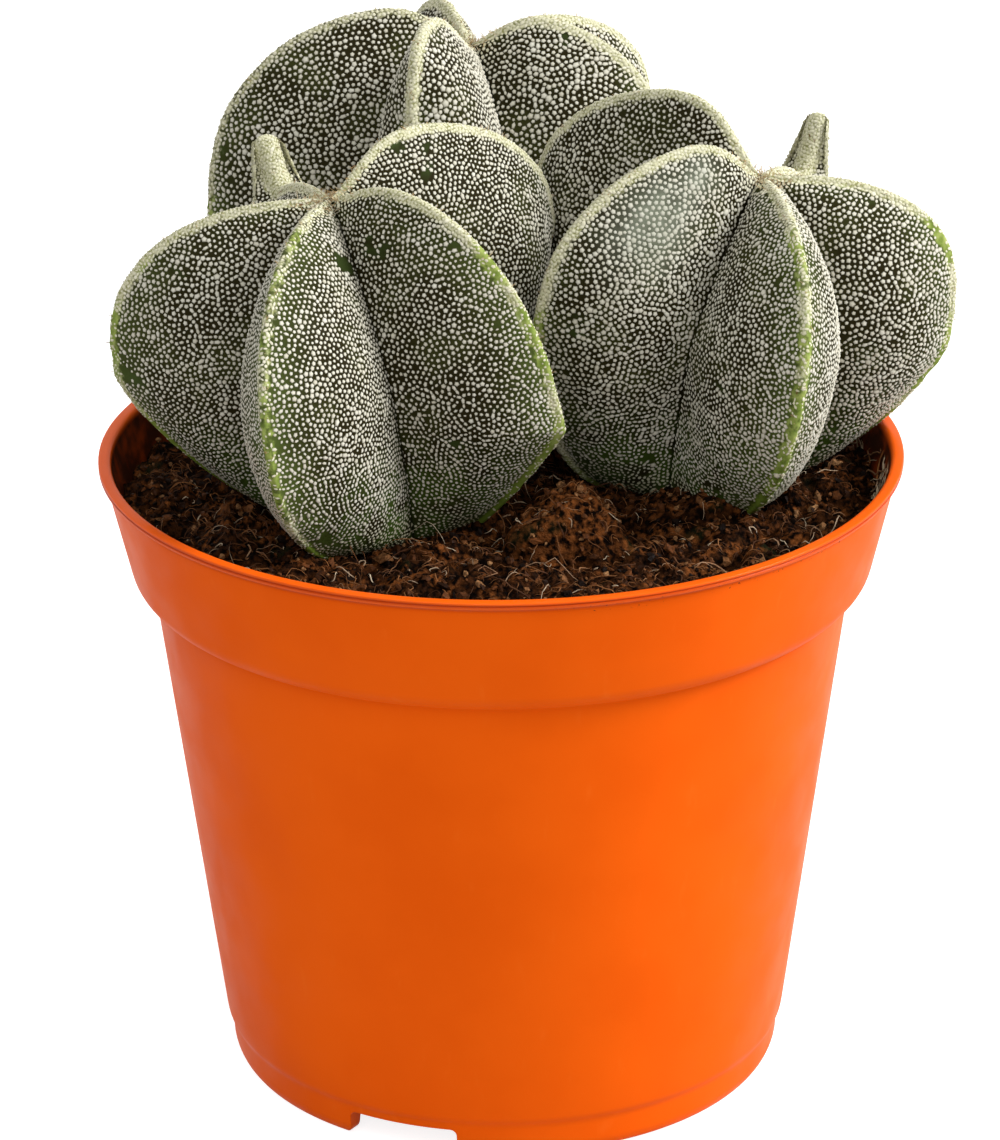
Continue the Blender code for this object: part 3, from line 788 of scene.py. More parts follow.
def spread_evenly(points, spacing, row, column):
    """Moves places on the skin apart until they are even. Each push is carried over to rows and columns
    by the two-way least squares of the grid's own steps there."""
    down, across = np.gradient(points, axis=0), round_steps(points)
    for _ in range(SPREAD_ROUNDS):
        push = near_ones(on_grid(points, row, column), on_grid(spacing, row, column))[0]
        a, b = on_grid(down, row, column), on_grid(across, row, column)
        aa, ab, bb, pa, pb = ((p * q).sum(axis=1) for p, q in ((a, a), (a, b), (b, b), (push, a), (push, b)))
        whole = np.maximum(aa * bb - ab**2, 1e-6)
        row = row + np.clip(PUSH_SHARE * (pa * bb - pb * ab) / whole, -2, 2)
        row = np.clip(row, 0.3, SKIN_ROWS - 1.0)
        column = (column + np.clip(PUSH_SHARE * (pb * aa - pa * ab) / whole, -2, 2)) % points.shape[1]
    return row, column


def fleck_shapes(centre, normal, way, size, drawn, chance):
    """A low five-sided cone for every fleck, with an uneven rim sunk just under the skin and a blunt tip.
    It is drawn out by its own amount along its way to the nearest fleck."""
    count = len(centre)
    stray = 1e-4 * chance.standard_normal((count, 3))
    first = unit(way - (way * normal).sum(axis=1, keepdims=True) * normal + stray)
    second = np.cross(normal, first)
    turn = np.arange(FLECK_SIDES) * math.tau / FLECK_SIDES
    rim = chance.uniform(0.88, 1.12, (count, FLECK_SIDES)) * size[:, None]
    ring = (
        centre[:, None]
        + (rim * np.cos(turn) * np.sqrt(drawn)[:, None])[..., None] * first[:, None]
        + (rim * np.sin(turn) / np.sqrt(drawn)[:, None])[..., None] * second[:, None]
        - FLECK_SUNK * normal[:, None]
    )
    tip = centre + (FLECK_TALL * size * chance.uniform(0.8, 1.2, count))[:, None] * normal
    points = np.concatenate((ring, tip[:, None]), axis=1).reshape(-1, 3)
    corner = np.arange(FLECK_SIDES)
    start = (np.arange(count) * (FLECK_SIDES + 1))[:, None, None]
    sides = start + np.stack((corner, np.roll(corner, -1), 0 * corner + FLECK_SIDES), axis=-1)
    bases = start[:, 0] + corner[::-1]
    return points, (sides.reshape(-1, 3), bases)


def cell_places(count, local):
    """Map places that give every one of many like shapes its own small square of the map, in rows. local
    has the places of one shape's corners, from 0 to 1."""
    side = math.ceil(math.sqrt(count))
    number = np.arange(count)
    cell = np.stack((number % side, number // side), axis=-1)[:, None, None, :]
    return ((cell + 0.1 + 0.8 * local[None]) / side).reshape(-1, *local.shape[1:])


def depth_under(height, top, depth):
    """0 from this top up, rising evenly to 1 at this depth under it."""
    return np.clip((top - height) / depth, 0.0, 1.0)


def bareness(points, seed):
    """How bare of flecks the skin is at each place, from noise at three scales: over about 1 it is bare."""
    bare = unevenness(points, 3.8, seed + 5) + 0.55 * unevenness(points, 1.5, seed + 6)
    return bare + 0.3 * unevenness(points, 0.8, seed + 9)


def cactus_flecks(name, points, marks, spacing, share, seed, finish):
    """All the woolly flecks of one plant, spread evenly over its skin: broad ones on the faces, and small
    close ones, which make the felt, on the woolly parts of the ridges and all over the horns. Small
    patches are bare, most of all beside green ridges and low down, and some flecks run into their
    neighbours."""
    chance = np.random.default_rng(seed)
    from_crown = np.linalg.norm(points - points[:1].mean(axis=1), axis=-1)
    crown = np.exp(-np.maximum(0.0, from_crown - CROWN_FELT[0]) / CROWN_FELT[1])
    felted = np.clip(marks["ridge"] + marks["horn"] + 0.6 * crown, 0.0, 1.0)
    lower = depth_under(points[..., 2], *CLOSER_FLECKS)
    apart = spacing * (1.0 - FELT_CLOSENESS * felted) * (1.03 - 0.10 * lower)
    row, column = even_places(points[:SKIN_ROWS], apart[:SKIN_ROWS])
    row, column = spread_evenly(points, apart, row, column)
    centre = on_grid(points, row, column)
    way = near_ones(centre, on_grid(apart, row, column))[1]
    normal = unit(on_grid(grid_normals(points), row, column))
    edge = on_grid(felted, row, column)
    low = depth_under(centre[:, 2], *SMALLER_FLECKS)
    worn = chance.random(len(row)) > 0.3 - 0.25 * low + 0.9 * on_grid(marks["felt"], row, column)
    greener = 0.45 * (on_grid(marks["flush"], row, column) + low)
    keep = np.where(edge > FELT_START, ~worn, bareness(centre, seed) + greener < BARE_LIMIT)
    keep &= (centre[:, 2] > SOIL_LINE - 0.2) & (chance.random(len(row)) > 0.15 * low)
    row, column, centre, way, normal, edge, low = (
        values[keep] for values in (row, column, centre, way, normal, edge, low)
    )
    size = share * on_grid(apart, row, column) * np.exp(0.16 * chance.standard_normal(len(row)))
    size = size * (1.0 + 0.10 * unevenness(centre, 4.0, seed + 7)) * (1 - 0.12 * low) * (1 + 0.12 * edge)
    # Painted light: flecks grow larger on faces turned towards +x, the key softbox's side, so that side is
    # paler.
    size = size * (1.0 + 0.1 * np.clip(normal[:, 0] - 0.2, 0.0, 1.0))
    merging = 0.16 + 0.28 * unevenness(centre, 6.0, seed + 8) + 0.5 * on_grid(lower, row, column) + 0.3 * edge
    drawn = np.where(chance.random(len(row)) < merging, chance.uniform(1.35, 1.85, len(row)), 1.05)
    shape_points, shape_faces = fleck_shapes(centre, normal, way, size, drawn, chance)
    around = np.arange(FLECK_SIDES) * math.tau / FLECK_SIDES
    rim = 0.5 + 0.5 * np.stack((np.cos(around), np.sin(around)), axis=-1)
    sides = np.stack((rim, np.roll(rim, -1, axis=0), 0 * rim + 0.5), axis=1)
    maps = cell_places(len(centre), sides), cell_places(len(centre), rim[None, ::-1])
    tone = np.clip(0.55 + 0.22 * chance.standard_normal(len(centre)), 0.0, 1.0)
    fleck_marks = {
        mark: np.repeat(values, FLECK_SIDES + 1)
        for mark, values in (
            ("tone", tone), ("ridge", edge), ("low", low), ("pale_patch", on_grid(marks["pale_patch"], row, column)),
        )
    }
    fleck_marks["thin"] = np.tile(np.append(np.ones(FLECK_SIDES), 0.0), len(centre))
    piece = make_piece(name, shape_points, shape_faces, finish, fleck_marks, maps)
    piece.data.set_sharp_from_angle(angle=math.radians(75))


def cactus_skin():
    """Olive-black skin, dark green in clouds and where it is bare, fresh green low down and beside green
    ridges, with a pale grey patch in one place. Ridges are bright green where bare and cream where
    felted, grooves are painted black as painted shade in their narrow creases, and old spots on the
    ridges are corky brown."""
    paint = Paint("cactus_skin", (0.0170, 0.0135, 0.0036))
    paint.coat(paint.clouds(6.0, 4.0, 0.45, 0.68), (0.031, 0.032, 0.0080))
    # A paler grey-green patch on the skin at the given spots of one plant.
    pale_patch = paint.combined(paint.mark("pale_patch"), paint.clouds(2.5, 3.0, 0.25, 0.75, 0.35, 1.0))
    paint.coat(pale_patch, (0.21, 0.23, 0.17))
    paint.coat(paint.mark("bare"), (0.028, 0.041, 0.0095))
    fresh = paint.combined(paint.mark("low"), paint.clouds(3.0, 3.0, 0.3, 0.6))
    paint.coat(fresh, (0.042, 0.074, 0.0100))
    paint.coat(paint.mark("flush"), (0.080, 0.112, 0.024))
    green = paint.blend(paint.clouds(1.2, 3.0, 0.35, 0.7), (0.17, 0.235, 0.042), (0.34, 0.40, 0.110))
    green = paint.blend(paint.mark("low"), green, (0.16, 0.235, 0.030))
    wool = paint.blend(paint.clouds(0.3, 4.0, 0.38, 0.62), (0.27, 0.27, 0.115), (0.62, 0.60, 0.42))
    ragged = paint.combined(paint.mark("ridge"), paint.clouds(0.7, 3.0, 0.3, 0.7, -0.25, 0.25), "ADD")
    paint.coat(paint.scaled(ragged, 0.4, 0.95), paint.blend(paint.mark("felt", 0.25, 0.7), green, wool))
    # Painted shade: the grooves are painted black, for the shadow in their narrow creases.
    paint.coat(paint.mark("groove", 0.1, 0.7, 0.0, 0.85), (0.008, 0.008, 0.004))
    cork = paint.combined(paint.clouds(1.1, 3.0, 0.66, 0.72, 0.0, 0.9), paint.mark("ridge", 0.6, 0.95))
    paint.coat(cork, (0.13, 0.055, 0.02))
    return paint.finished(paint.clouds(2.0, 2.0, 0.3, 0.7, 0.55, 0.75), 0.04, paint.noise(0.3, 3.0), 0.05)


def fleck_wool():
    """Matted cream-white wool, yellower along the ridges, greener low down and greyer in the pale patch.
    It is thin and dark at a fleck's rim, and no two flecks are the same."""
    paint = Paint("fleck_wool", (0.56, 0.533, 0.430))
    paint.coat(paint.mark("tone"), (0.69, 0.670, 0.580))
    ridge = paint.blend(paint.mark("tone"), (0.58, 0.57, 0.35), (0.78, 0.75, 0.585))
    paint.coat(paint.mark("ridge", 0.3, 0.9), ridge)
    paint.coat(paint.mark("low", 0.0, 1.0, 0.0, 0.75), (0.52, 0.52, 0.30))
    paint.coat(paint.clouds(6.0, 2.0, 0.4, 0.7, 0.0, 0.2), (0.48, 0.44, 0.33))
    thin = paint.combined(paint.mark("thin", 0.4, 1.0, 0.0, 0.85), paint.mark("ridge", 0.3, 0.9, 1.0, 0.35))
    paint.coat(thin, (0.075, 0.066, 0.027))
    paint.coat(paint.combined(paint.mark("pale_patch"), 0.5), (0.40, 0.42, 0.34))
    return paint.finished(0.9, 0.1)


def make_many(name, points, rings, tone, finish):
    """One object of many like closed shapes, each of so many rings of points between two poles, as
    (shape, point), with its own tone from 0 to 1."""
    count, each = points.shape[:2]
    start = (np.arange(count) * each)[:, None, None]
    quads, fans = ring_faces(*rings)
    faces = (start + quads).reshape(-1, 4), (start + fans).reshape(-1, 3)
    maps = [cell_places(count, places) for places in ring_map(*rings)]
    marks = {"tone": np.repeat(np.clip(tone, 0.0, 1.0), each)}
    return make_piece(name, points.reshape(-1, 3), faces, finish, marks, maps)


def make_strands(name, paths, radius, tone, finish, sides=3):
    """Round tubes along many paths at once, as (strand, step) points, that narrow to a point at both
    ends. Each ring of a tube lies across its path there."""
    count, steps = paths.shape[:2]
    ahead = unit(np.gradient(paths, axis=1))
    steady = unit(np.cross(ahead, np.array((0.21, 0.37, 0.9))))
    other = np.cross(ahead, steady)
    turn = np.arange(sides) * math.tau / sides
    taper = np.sin(np.linspace(0.18, 0.88, steps - 2) * math.pi) ** 0.4
    wide = (radius[:, None] * taper)[..., None, None]
    rings = paths[:, 1:-1, None] + wide * (
        np.cos(turn)[:, None] * steady[:, 1:-1, None] + np.sin(turn)[:, None] * other[:, 1:-1, None]
    )
    points = np.concatenate((rings.reshape(count, -1, 3), paths[:, [0, -1]]), axis=1)
    make_many(name, points, (steps - 2, sides), tone, finish)


def toned_paint(name, first, middle, last, bend=0.6):
    """A paint that runs from one colour to a second by the tone, and from this bend on to a third."""
    paint = Paint(name, first)
    paint.coat(paint.mark("tone", 0.0, bend), middle)
    paint.coat(paint.mark("tone", bend, 1.0), last)
    return paint


def hair_finish():
    """Crinkled wool hairs, from cream through straw to rusty brown."""
    paint = toned_paint("crown_wool", (0.68, 0.64, 0.48), (0.42, 0.27, 0.10), (0.19, 0.075, 0.025))
    paint.coat(paint.clouds(1.0, 2.0, 0.35, 0.65, 0.0, 0.3), (0.55, 0.47, 0.30))
    return paint.finished(0.85, 0.5)


def wool_hairs(name, points, ridge_columns, seed, finish):
    """Short hairs: a thick tuft in the crown, and a very small one at points down each ridge. A hair
    runs from its root on the skin along its lean, plus its bend times the square of the way."""
    chance = np.random.default_rng(seed)
    rows = [chance.uniform(0.2, 5.0, CROWN_HAIRS)]
    columns = [chance.uniform(0, points.shape[1], CROWN_HAIRS)]
    lengths = [chance.uniform(0.35, 0.95, CROWN_HAIRS)]
    tones = [chance.normal(0.42, 0.25, CROWN_HAIRS)]
    for column in ridge_columns:
        line = points[:SKIN_ROWS, column]
        along = np.pad(np.cumsum(np.linalg.norm(np.diff(line, axis=0), axis=-1)), (1, 0))
        spots = np.arange(3.5, 0.6 * along[-1], TUFT_SPACING)
        place = np.repeat(spots + chance.uniform(-0.5, 0.5, len(spots)), TUFT_HAIRS)
        place = place + chance.normal(0, 0.3, len(place))
        rows.append(np.interp(place, along, np.arange(SKIN_ROWS)))
        columns.append(column + chance.uniform(-2.2, 2.2, len(place)))
        lengths.append(chance.uniform(0.25, 0.5, len(place)))
        tones.append(chance.normal(0.5, 0.25, len(place)))
    row, column, length, tone = (np.concatenate(found) for found in (rows, columns, lengths, tones))
    root = on_grid(points, row, column)
    out = on_grid(grid_normals(points), row, column)
    lean = unit(out + 0.75 * chance.standard_normal(out.shape))
    bend = 0.45 * chance.standard_normal(out.shape)
    t = np.linspace(0.0, 1.0, 6)[None, :, None]
    curve = t * lean[:, None] + t**2 * bend[:, None]
    paths = root[:, None] - 0.1 * out[:, None] + length[:, None, None] * curve
    make_strands(name, paths, chance.uniform(0.03, 0.05, len(row)), tone, finish)


# Where each pale grey patch lies, and its reach.
PALE_PATCH_SPOTS = {
    "front_right": ((17.4, -3.7, 96.8, 2.9), (14.9, -5.6, 93.6, 3.4), (20.9, -1.2, 99.2, 1.9)),
}
skin_finish, wool_finish, crown_finish = cactus_skin(), fleck_wool(), hair_finish()
for number, (which, plant) in enumerate(PLANTS.items()):
    seed = 100 * (number + 1)
    skin, marks = skin_grid(plant, seed)
    height = skin[..., 2]
    patchy = 0.9 * unevenness(skin, 5.0, seed + 3) + 0.35 * unevenness(skin, 1.6, seed + 4)
    felt = marks["wool"] + (height - FELT_MIDDLE) / 45.0 + 0.8 * patchy * (1.0 - marks["horn"])
    over_crown = np.clip((height - (plant.crown[2] - 1.0)) / 3.0, 0.0, 1.0)
    marks["felt"] = np.clip(felt + marks["horn"] + over_crown, 0.0, 1.0)
    marks["low"] = depth_under(height, *FRESH_GREEN)
    marks["bare"] = np.clip((bareness(skin, seed) - BARE_START) / 0.2, 0.0, 1.0)
    marks["flush"] = marks["flush"] * np.clip(0.9 - marks["felt"] + 0.5 * patchy, 0.0, 1.0)
    spots = [
        np.exp(-(np.linalg.norm(skin - np.array(spot[:3]), axis=-1) / spot[3]) ** 2)
        for spot in PALE_PATCH_SPOTS.get(which, ())
    ]
    marks["pale_patch"] = np.clip(sum(spots, 0 * height), 0.0, 1.0)
    rows, columns = skin.shape[:2]
    ends = np.array((plant.crown, (*plant.root, ROOT_TIP)))
    ends[0, 2] -= 0.2
    skin_marks = {
        mark: np.concatenate((marks[mark].ravel(), marks[mark][[0, -1], 0]))
        for mark in ("ridge", "groove", "felt", "flush", "bare", "low", "pale_patch")
    }
    skin_marks["ridge"] = np.clip(skin_marks["ridge"] + np.append(marks["horn"].ravel(), (0, 0)), 0.0, 1.0)
    piece = make_piece(
        "skin_" + which, np.vstack((skin.reshape(-1, 3), ends)), ring_faces(rows, columns), skin_finish,
        skin_marks, ring_map(rows, columns),
    )
    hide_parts("cactus_" + which)
    cactus_flecks("flecks_" + which, skin, marks, plant.fleck_spacing, plant.fleck_share, seed, wool_finish)
    first_ridge = len(FACE_SHARES) + len(RIDGE_TURNS) // 2
    middles = range(first_ridge, columns, columns // len(plant.ribs))
    wool_hairs("wool_" + which, skin, middles, seed + 9, crown_finish)


# ---- Soil -----------------------------------------------------------------------------------------
# Dark peat and coir potting soil, pressed in by hand and loose on top: heaps and pits, crumbs of every
# size, rusty coir fibres, and fine pale roots that lie on the soil and climb the pot's inner wall.

SOIL_LEVEL = 63.6
SOIL_FOOT = 1.1
SOIL_REACH = 39.6
SOIL_AT_WALL = 64.0
SOIL_RINGS = 92
SOIL_SPOKES = 288
SOIL_GAP = 0.12
SOCKET_FLOOR = ROOT_TIP - 0.6
CLOD_MIDDLE = (6.2, -15.0)  # x and y
CLOD_REACH = (6.4, 4.6)  # along x and y
CLOD_HEIGHT = 3.6
CREVICE_DEPTH = 1.5
PIT_MIDDLE = (7.5, 5.0)  # x and y
PIT_REACH = 5.0
PIT_DEPTH = 3.0
CRUMB_COUNT = 3600
CRUMB_RINGS = (3, 5)  # rings between the poles, and points in each
CRUMB_REACH = 39.2
FIBRE_COUNT = 2300
FIBRE_STEPS = 8
FIBRE_START_REACH = 37.5
FIBRE_REACH = 39.0
ROOT_COUNT = 26
ROOT_STEPS = 14


def wall_radius(height):
    """Radius of the inside of the pot's collar at this height."""
    low, high = COLLAR_FOOT[1] + 1.0, LIP_FOOT - 0.3
    return np.interp(height, (low, high), (COLLAR_FOOT[0] - POT_WALL, LIP_RADIUS - LIP_WIDTH))


def inside_plants(x, y, share=1.0):
    """Whether points are inside a plant where it enters the soil: nearer its axis than the straight
    lines between its ridges and grooves there."""
    found = np.zeros(np.shape(x), bool)
    for plant in PLANTS.values():
        turns = np.radians([rib.turn for rib in plant.ribs])
        feet = np.array([rib.foot for rib in plant.ribs])
        toward = np.arctan2(y - plant.root[1], x - plant.root[0])[..., None]
        off = (toward - turns + math.pi) % math.tau - math.pi
        near = np.abs(off).min(axis=-1)
        foot = feet[np.abs(off).argmin(axis=-1)]
        edge = foot - (foot - GROOVE_FOOT) * np.clip(near / HALF_RIB_TURN, 0.0, 1.0)
        found |= np.hypot(x - plant.root[0], y - plant.root[1]) < share * edge
    return found


def clod_distance(x, y):
    """Distance from the middle of the big clod, as a share of its reach."""
    return np.hypot((x - CLOD_MIDDLE[0]) / CLOD_REACH[0], (y - CLOD_MIDDLE[1]) / CLOD_REACH[1])


def clod_share(x, y):
    """1 on the big clod and 0 away from it."""
    return np.exp(-clod_distance(x, y) ** 4)


def soil_height(x, y):
    """Height of the loose soil: a low mound, with one big clod in front, a crevice round it, and a pit
    between the plants, plus unevenness at five scales. The middle ones are folded, so that heaps are
    round and pits are sharp."""
    spot = np.stack((x, y, 0 * x), axis=-1)
    mound = SOIL_LEVEL + 0.8 * (1 - (np.hypot(x, y) / 40.0) ** 2)
    crevice = CREVICE_DEPTH * np.exp(-(((clod_distance(x, y) - 1.3) / 0.25) ** 2))
    clod = CLOD_HEIGHT * clod_share(x, y) - crevice
    pit = PIT_DEPTH * np.exp(-((x - PIT_MIDDLE[0]) ** 2 + (y - PIT_MIDDLE[1]) ** 2) / PIT_REACH**2)
    heaps = 1.4 * unevenness(spot, 7.0, 41) + 1.7 * (0.45 - np.abs(unevenness(spot, 3.9, 42)))
    grains = 0.9 * (0.4 - np.abs(unevenness(spot, 2.1, 43))) + 0.5 * unevenness(spot, 1.1, 44)
    return mound + clod + heaps + (grains - pit) + 0.3 * unevenness(spot, 0.6, 45)


def soil_surface():
    """The soil as (ring, spoke) points: out over the top from the middle, then down the inside of the
    pot's wall. Under each plant the top drops into its socket."""
    turns = np.linspace(0.0, math.tau, SOIL_SPOKES, endpoint=False)
    share = np.linspace(0.0, 1.0, SOIL_RINGS + 1)[1:, None]
    edge_height = soil_height(SOIL_REACH * np.cos(turns), SOIL_REACH * np.sin(turns))
    radius = share**0.75 * (wall_radius(edge_height) - SOIL_GAP)
    x, y = radius * np.cos(turns), radius * np.sin(turns)
    height = np.where(inside_plants(x, y, 0.9), SOCKET_FLOOR, soil_height(x, y))
    side_radius, side_height = np.array((
        (COLLAR_FOOT[0] - 1.5, COLLAR_FOOT[1]),
        (BODY_TOP[0] - 1.1, BODY_TOP[1]),
        (BODY_FOOT[0] - 1.1, BODY_FOOT[1] + 1.5),
        (FOOT_TOP[0] - 2.2, 4.0),
        (20.0, 3.8),
        (19.0, SOIL_FOOT),
    )).T[:, :, None]
    grid = np.concatenate((turned(radius, height, turns), turned(side_radius - SOIL_GAP, side_height, turns)))
    middle = np.array(((0.0, 0.0, soil_height(np.zeros(1), np.zeros(1))[0]), (0.0, 0.0, SOIL_FOOT)))
    return np.vstack((grid.reshape(-1, 3), middle)), ring_faces(*grid.shape[:2]), ring_map(*grid.shape[:2])


def peat():
    """Damp peat and coir: nearly black in the pits, rusty brown on the crumbs and the big clod, greenish
    here and there."""
    paint = Paint("peat_and_coir", (0.0020, 0.0006, 0.0002))
    grain = paint.clouds(0.7, 5.0, 0.38, 0.66)
    paint.coat(grain, (0.040, 0.0130, 0.0036))
    rusty = paint.combined(paint.clouds(2.4, 3.0, 0.48, 0.66), paint.mark("clod"), "MAXIMUM")
    paint.coat(paint.combined(rusty, grain), (0.20, 0.062, 0.015))
    paint.coat(paint.clouds(5.0, 2.0, 0.62, 0.72, 0.0, 0.35), (0.018, 0.024, 0.008))
    return paint.finished(paint.clouds(0.5, 2.0, 0.3, 0.7, 0.6, 0.95), 0.03, paint.noise(0.4, 5.0), 0.6)


def crumb_finish():
    """Crumbs of peat, coir pith and bark: every crumb its own shade from black-brown to rusty tan."""
    black, rust, tan = (0.0025, 0.0008, 0.0003), (0.135, 0.043, 0.0110), (0.34, 0.17, 0.07)
    paint = toned_paint("soil_crumbs", black, rust, tan, 0.7)
    paint.coat(paint.clouds(0.35, 4.0, 0.35, 0.65, 0.0, 0.6), (0.010, 0.0035, 0.0012))
    return paint.finished(paint.clouds(0.5, 2.0, 0.3, 0.7, 0.4, 0.8), 0.08, paint.noise(0.2, 3.0), 0.12)


def fibre_finish():
    """Coir and root fibres: rusty brown, straw and pale cream."""
    paint = toned_paint("soil_fibres", (0.06, 0.020, 0.0065), (0.27, 0.105, 0.032), (0.58, 0.47, 0.33))
    paint.coat(paint.clouds(1.2, 3.0, 0.4, 0.65, 0.0, 0.5), (0.10, 0.045, 0.02))
    return paint.finished(0.7, 0.15)


def crumb_shapes(centre, size, chance):
    """Closed lumps of thirty faces, as (lump, point) points: a ball of rings between two poles, with every
    point moved in or out at random, stretched three ways and turned at random."""
    count = len(centre)
    rows, columns = CRUMB_RINGS
    up = np.linspace(0.0, math.pi, rows + 2)[1:-1, None]
    ring = turned(np.sin(up), np.cos(up), np.arange(columns) * math.tau / columns)
    ball = np.vstack((ring.reshape(-1, 3), ((0, 0, 1), (0, 0, -1))))
    shape = ball * chance.uniform(0.5, 1.35, (count, len(ball), 1)) * chance.uniform(0.4, 1.25, (count, 1, 3))
    spin, _ = np.linalg.qr(chance.standard_normal((count, 3, 3)))
    spin *= np.linalg.det(spin)[:, None, None]
    return centre[:, None] + size[:, None, None] * np.einsum("nij,nkj->nki", spin, shape)


def soil_crumbs(finish):
    """Crumbs scattered over the soil, a few much bigger than the rest, half sunk in it."""
    chance = np.random.default_rng(51)
    radius = CRUMB_REACH * np.sqrt(chance.random(3 * CRUMB_COUNT))
    turn = chance.uniform(0, math.tau, 3 * CRUMB_COUNT)
    x, y = radius * np.cos(turn), radius * np.sin(turn)
    clear = ~inside_plants(x, y, 0.98)
    x, y = x[clear][:CRUMB_COUNT], y[clear][:CRUMB_COUNT]
    size = np.clip(np.exp(chance.normal(-1.15, 0.38, len(x))), 0.14, 1.0)
    room = wall_radius(SOIL_AT_WALL) - SOIL_GAP - size
    shrink = np.minimum(1.0, room / np.hypot(x, y))
    x, y = x * shrink, y * shrink
    centre = np.stack((x, y, soil_height(x, y) + 0.25 * size), axis=-1)
    points = crumb_shapes(centre, size, chance)
    tone = 0.34 + 0.42 * unevenness(centre, 3.2, 52) + chance.normal(0, 0.30, len(x))
    tone = np.where(chance.random(len(x)) < 0.03, 1.0, np.clip(tone + clod_share(x, y) * 0.35, 0.0, 0.9))
    piece = make_many("soil_crumbs", points, CRUMB_RINGS, tone, finish)
    piece.data.set_sharp_from_angle(angle=math.radians(35))


def soil_fibres(finish):
    """Short fibres that lie tangled on the soil. The way a fibre heads turns steadily and wavers, and it
    lifts off the soil in an arch."""
    chance = np.random.default_rng(61)
    radius = FIBRE_START_REACH * np.sqrt(chance.random(FIBRE_COUNT))
    at = chance.uniform(0, math.tau, FIBRE_COUNT)
    length = np.clip(np.exp(chance.normal(0.6, 0.5, FIBRE_COUNT)), 0.8, 7.0)
    heading = chance.uniform(0, math.tau, (FIBRE_COUNT, 1))
    waver = chance.normal(0, 0.25, (FIBRE_COUNT, 1))
    waver = waver + 0.35 * chance.standard_normal((FIBRE_COUNT, FIBRE_STEPS))
    heading = heading + np.cumsum(waver, axis=1)
    pace = (length / (FIBRE_STEPS - 1))[:, None]
    x = (radius * np.cos(at))[:, None] + np.cumsum(pace * np.cos(heading), axis=1)
    y = (radius * np.sin(at))[:, None] + np.cumsum(pace * np.sin(heading), axis=1)
    inside = np.hypot(x, y).max(axis=1) < FIBRE_REACH
    clear = ~inside_plants(x, y, 1.02).any(axis=1)
    x, y, length = (values[inside & clear] for values in (x, y, length))
    bow = length[:, None] * np.sin(np.linspace(0, math.pi, FIBRE_STEPS))
    arch = chance.uniform(0.0, 0.35, (len(x), 1)) * bow
    flat = np.sort(soil_height(x, y), axis=1)[:, FIBRE_STEPS // 2, None]
    paths = np.stack((x, y, 0.5 * soil_height(x, y) + 0.5 * flat + 0.15 + arch), axis=-1)
    thick = np.clip(np.exp(chance.normal(-3.0, 0.35, len(x))), 0.025, 0.10)
    make_strands("soil_fibres", paths, thick, chance.normal(0.34, 0.34, len(x)), finish)


def wall_roots(finish):
    """Pale roots that climb the inner wall on the right, up from the soil in wavering lines."""
    chance = np.random.default_rng(71)
    along = np.linspace(0, 1, ROOT_STEPS)
    turn = chance.uniform(-0.25, 0.5, (ROOT_COUNT, 1))
    turn = turn + np.cumsum(chance.normal(0, 0.014, (ROOT_COUNT, ROOT_STEPS)), axis=1)
    turn = turn + chance.normal(0, 0.12, (ROOT_COUNT, 1)) * along
    rise = chance.uniform(2.0, 5.2, (ROOT_COUNT, 1)) * along ** chance.uniform(0.7, 1.6, (ROOT_COUNT, 1))
    height = SOIL_LEVEL - 0.6 + rise
    out = wall_radius(height) - 0.16 - 0.8 * (1 - along) ** 2
    thick = chance.uniform(0.06, 0.12, ROOT_COUNT)
    tone = chance.normal(0.85, 0.15, ROOT_COUNT)
    make_strands("wall_roots", turned(out, height, turn), thick, tone, finish, 4)


soil_points, soil_faces, soil_map = soil_surface()
soil_marks = {"clod": clod_share(soil_points[:, 0], soil_points[:, 1]) * (soil_points[:, 2] > SOIL_LINE)}
soil = make_piece("soil_bed", soil_points, soil_faces, peat(), soil_marks, soil_map)
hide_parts("soil")
soil_crumbs(crumb_finish())
strand_finish = fibre_finish()
soil_fibres(strand_finish)
wall_roots(strand_finish)


# ---- Stage ----------------------------------------------------------------------------------------
# The pot stands on a plain white studio floor under even light from all round. The main softbox is on
# its right and a weaker, broader one in front, and a long lens looks a little down on it.

# The stage's lengths are in metres.
FLOOR_SIZE = 3.0
FLOOR_GREY = 0.5
FLOOR_GLOW = 0.85
SKY_STRENGTH = 0.63
LENS = 157.9
CAMERA_DISTANCE = 0.5342
CAMERA_ELEVATION = math.radians(22.66)
CAMERA_ROLL = math.radians(-0.41)
CAMERA_AIM = (-0.0002, 0.05466)  # x and height
SIGHT = ("Is Camera Ray", "Is Glossy Ray", "Is Transmission Ray")


def mix_by_sight(tree, unseen, seen, end):
    """Shows one shader to rays from the camera and to mirrored or transmitted ones, and the other to the
    rest."""
    path = tree.nodes.new("ShaderNodeLightPath")
    total = path.outputs[SIGHT[0]]
    for name in SIGHT[1:]:
        node = tree.nodes.new("ShaderNodeMath")
        node.operation = "MAXIMUM"
        tree.links.new(total, node.inputs[0])
        tree.links.new(path.outputs[name], node.inputs[1])
        total = node.outputs[0]
    mix = tree.nodes.new("ShaderNodeMixShader")
    for socket, output in zip(mix.inputs, (total, unseen, seen)):
        tree.links.new(output, socket)
    tree.links.new(mix.outputs[0], tree.nodes[end].inputs["Surface"])


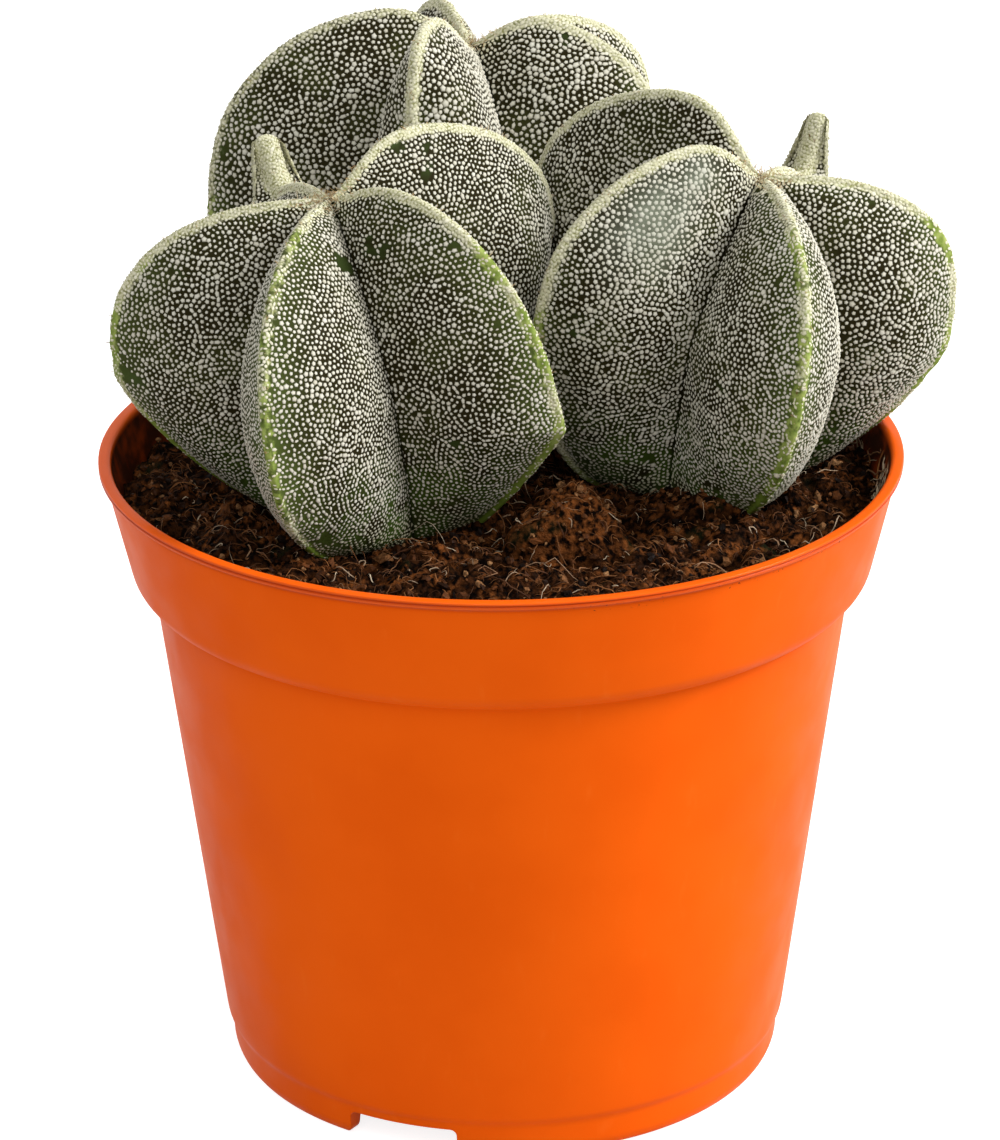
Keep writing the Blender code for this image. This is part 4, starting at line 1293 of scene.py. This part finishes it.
def make_floor():
    """A level floor: matt and pale for the lamps, and for the eye mostly plain white, less the shadow."""
    finish = bpy.data.materials.new("studio_floor")
    finish.use_nodes = True
    tree = finish.node_tree
    shader = tree.nodes["Principled BSDF"]
    shader.inputs["Base Color"].default_value = (FLOOR_GREY, FLOOR_GREY, FLOOR_GREY, 1.0)
    shader.inputs["Roughness"].default_value = 0.9
    shader.inputs["Specular IOR Level"].default_value = 0.0
    glow = tree.nodes.new("ShaderNodeEmission")
    glow.inputs["Strength"].default_value = FLOOR_GLOW
    both = tree.nodes.new("ShaderNodeAddShader")
    tree.links.new(shader.outputs[0], both.inputs[0])
    tree.links.new(glow.outputs[0], both.inputs[1])
    mix_by_sight(tree, shader.outputs[0], both.outputs[0], "Material Output")
    side = FLOOR_SIZE / 2
    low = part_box("pot")[0].z
    corners = [(-side, -side, low), (side, -side, low), (side, side, low), (-side, side, low)]
    mesh = bpy.data.meshes.new("studio_floor")
    mesh.from_pydata(corners, [], [(0, 1, 2, 3)])
    mesh.materials.append(finish)
    floor = bpy.data.objects.new("studio_floor", mesh)
    bpy.context.scene.collection.objects.link(floor)


def make_world():
    """Even white light from all round, and plain white where it is seen directly."""
    world = bpy.data.worlds.new("studio")
    world.use_nodes = True
    soft, white = world.node_tree.nodes["Background"], world.node_tree.nodes.new("ShaderNodeBackground")
    for light, strength in ((soft, SKY_STRENGTH), (white, 1.0)):
        light.inputs["Color"].default_value = (1.0, 1.0, 1.0, 1.0)
        light.inputs["Strength"].default_value = strength
    mix_by_sight(world.node_tree, soft.outputs[0], white.outputs[0], "World Output")
    bpy.context.scene.world = world


def make_softbox(name, turn, elevation, distance, size, power):
    """A square lamp at a turn and elevation about the object's middle, facing it."""
    lamp = bpy.data.lights.new(name, "AREA")
    lamp.shape = "SQUARE"
    lamp.size = size
    lamp.energy = power
    softbox = bpy.data.objects.new(name, lamp)
    turn, elevation = math.radians(turn), math.radians(elevation)
    flat = distance * math.cos(elevation)
    middle = (cad_box[0].z + cad_box[1].z) / 2
    softbox.location = (flat * math.cos(turn), flat * math.sin(turn), middle + distance * math.sin(elevation))
    softbox.rotation_euler = (math.pi / 2 - elevation, 0.0, turn + math.pi / 2)
    bpy.context.scene.collection.objects.link(softbox)


def make_camera():
    """A long lens that looks down on the pot's front from a little over half a metre away."""
    lens = bpy.data.cameras.new("camera")
    lens.sensor_width = 36.0
    lens.lens = LENS
    lens.clip_start = 0.01
    camera = bpy.data.objects.new("camera", lens)
    away = CAMERA_DISTANCE * math.cos(CAMERA_ELEVATION)
    camera.location = (CAMERA_AIM[0], -away, CAMERA_AIM[1] + CAMERA_DISTANCE * math.sin(CAMERA_ELEVATION))
    camera.rotation_mode = "ZYX"
    camera.rotation_euler = (math.pi / 2 - CAMERA_ELEVATION, 0.0, CAMERA_ROLL)
    bpy.context.scene.collection.objects.link(camera)
    bpy.context.scene.camera = camera


make_floor()
make_world()
make_softbox("key_softbox", turn=-4.0, elevation=35.0, distance=1.2, size=0.55, power=17.4)
make_softbox("front_softbox", turn=-100.0, elevation=45.0, distance=1.5, size=1.0, power=6.0)
make_camera()
bpy.context.scene.view_settings.view_transform = "Standard"
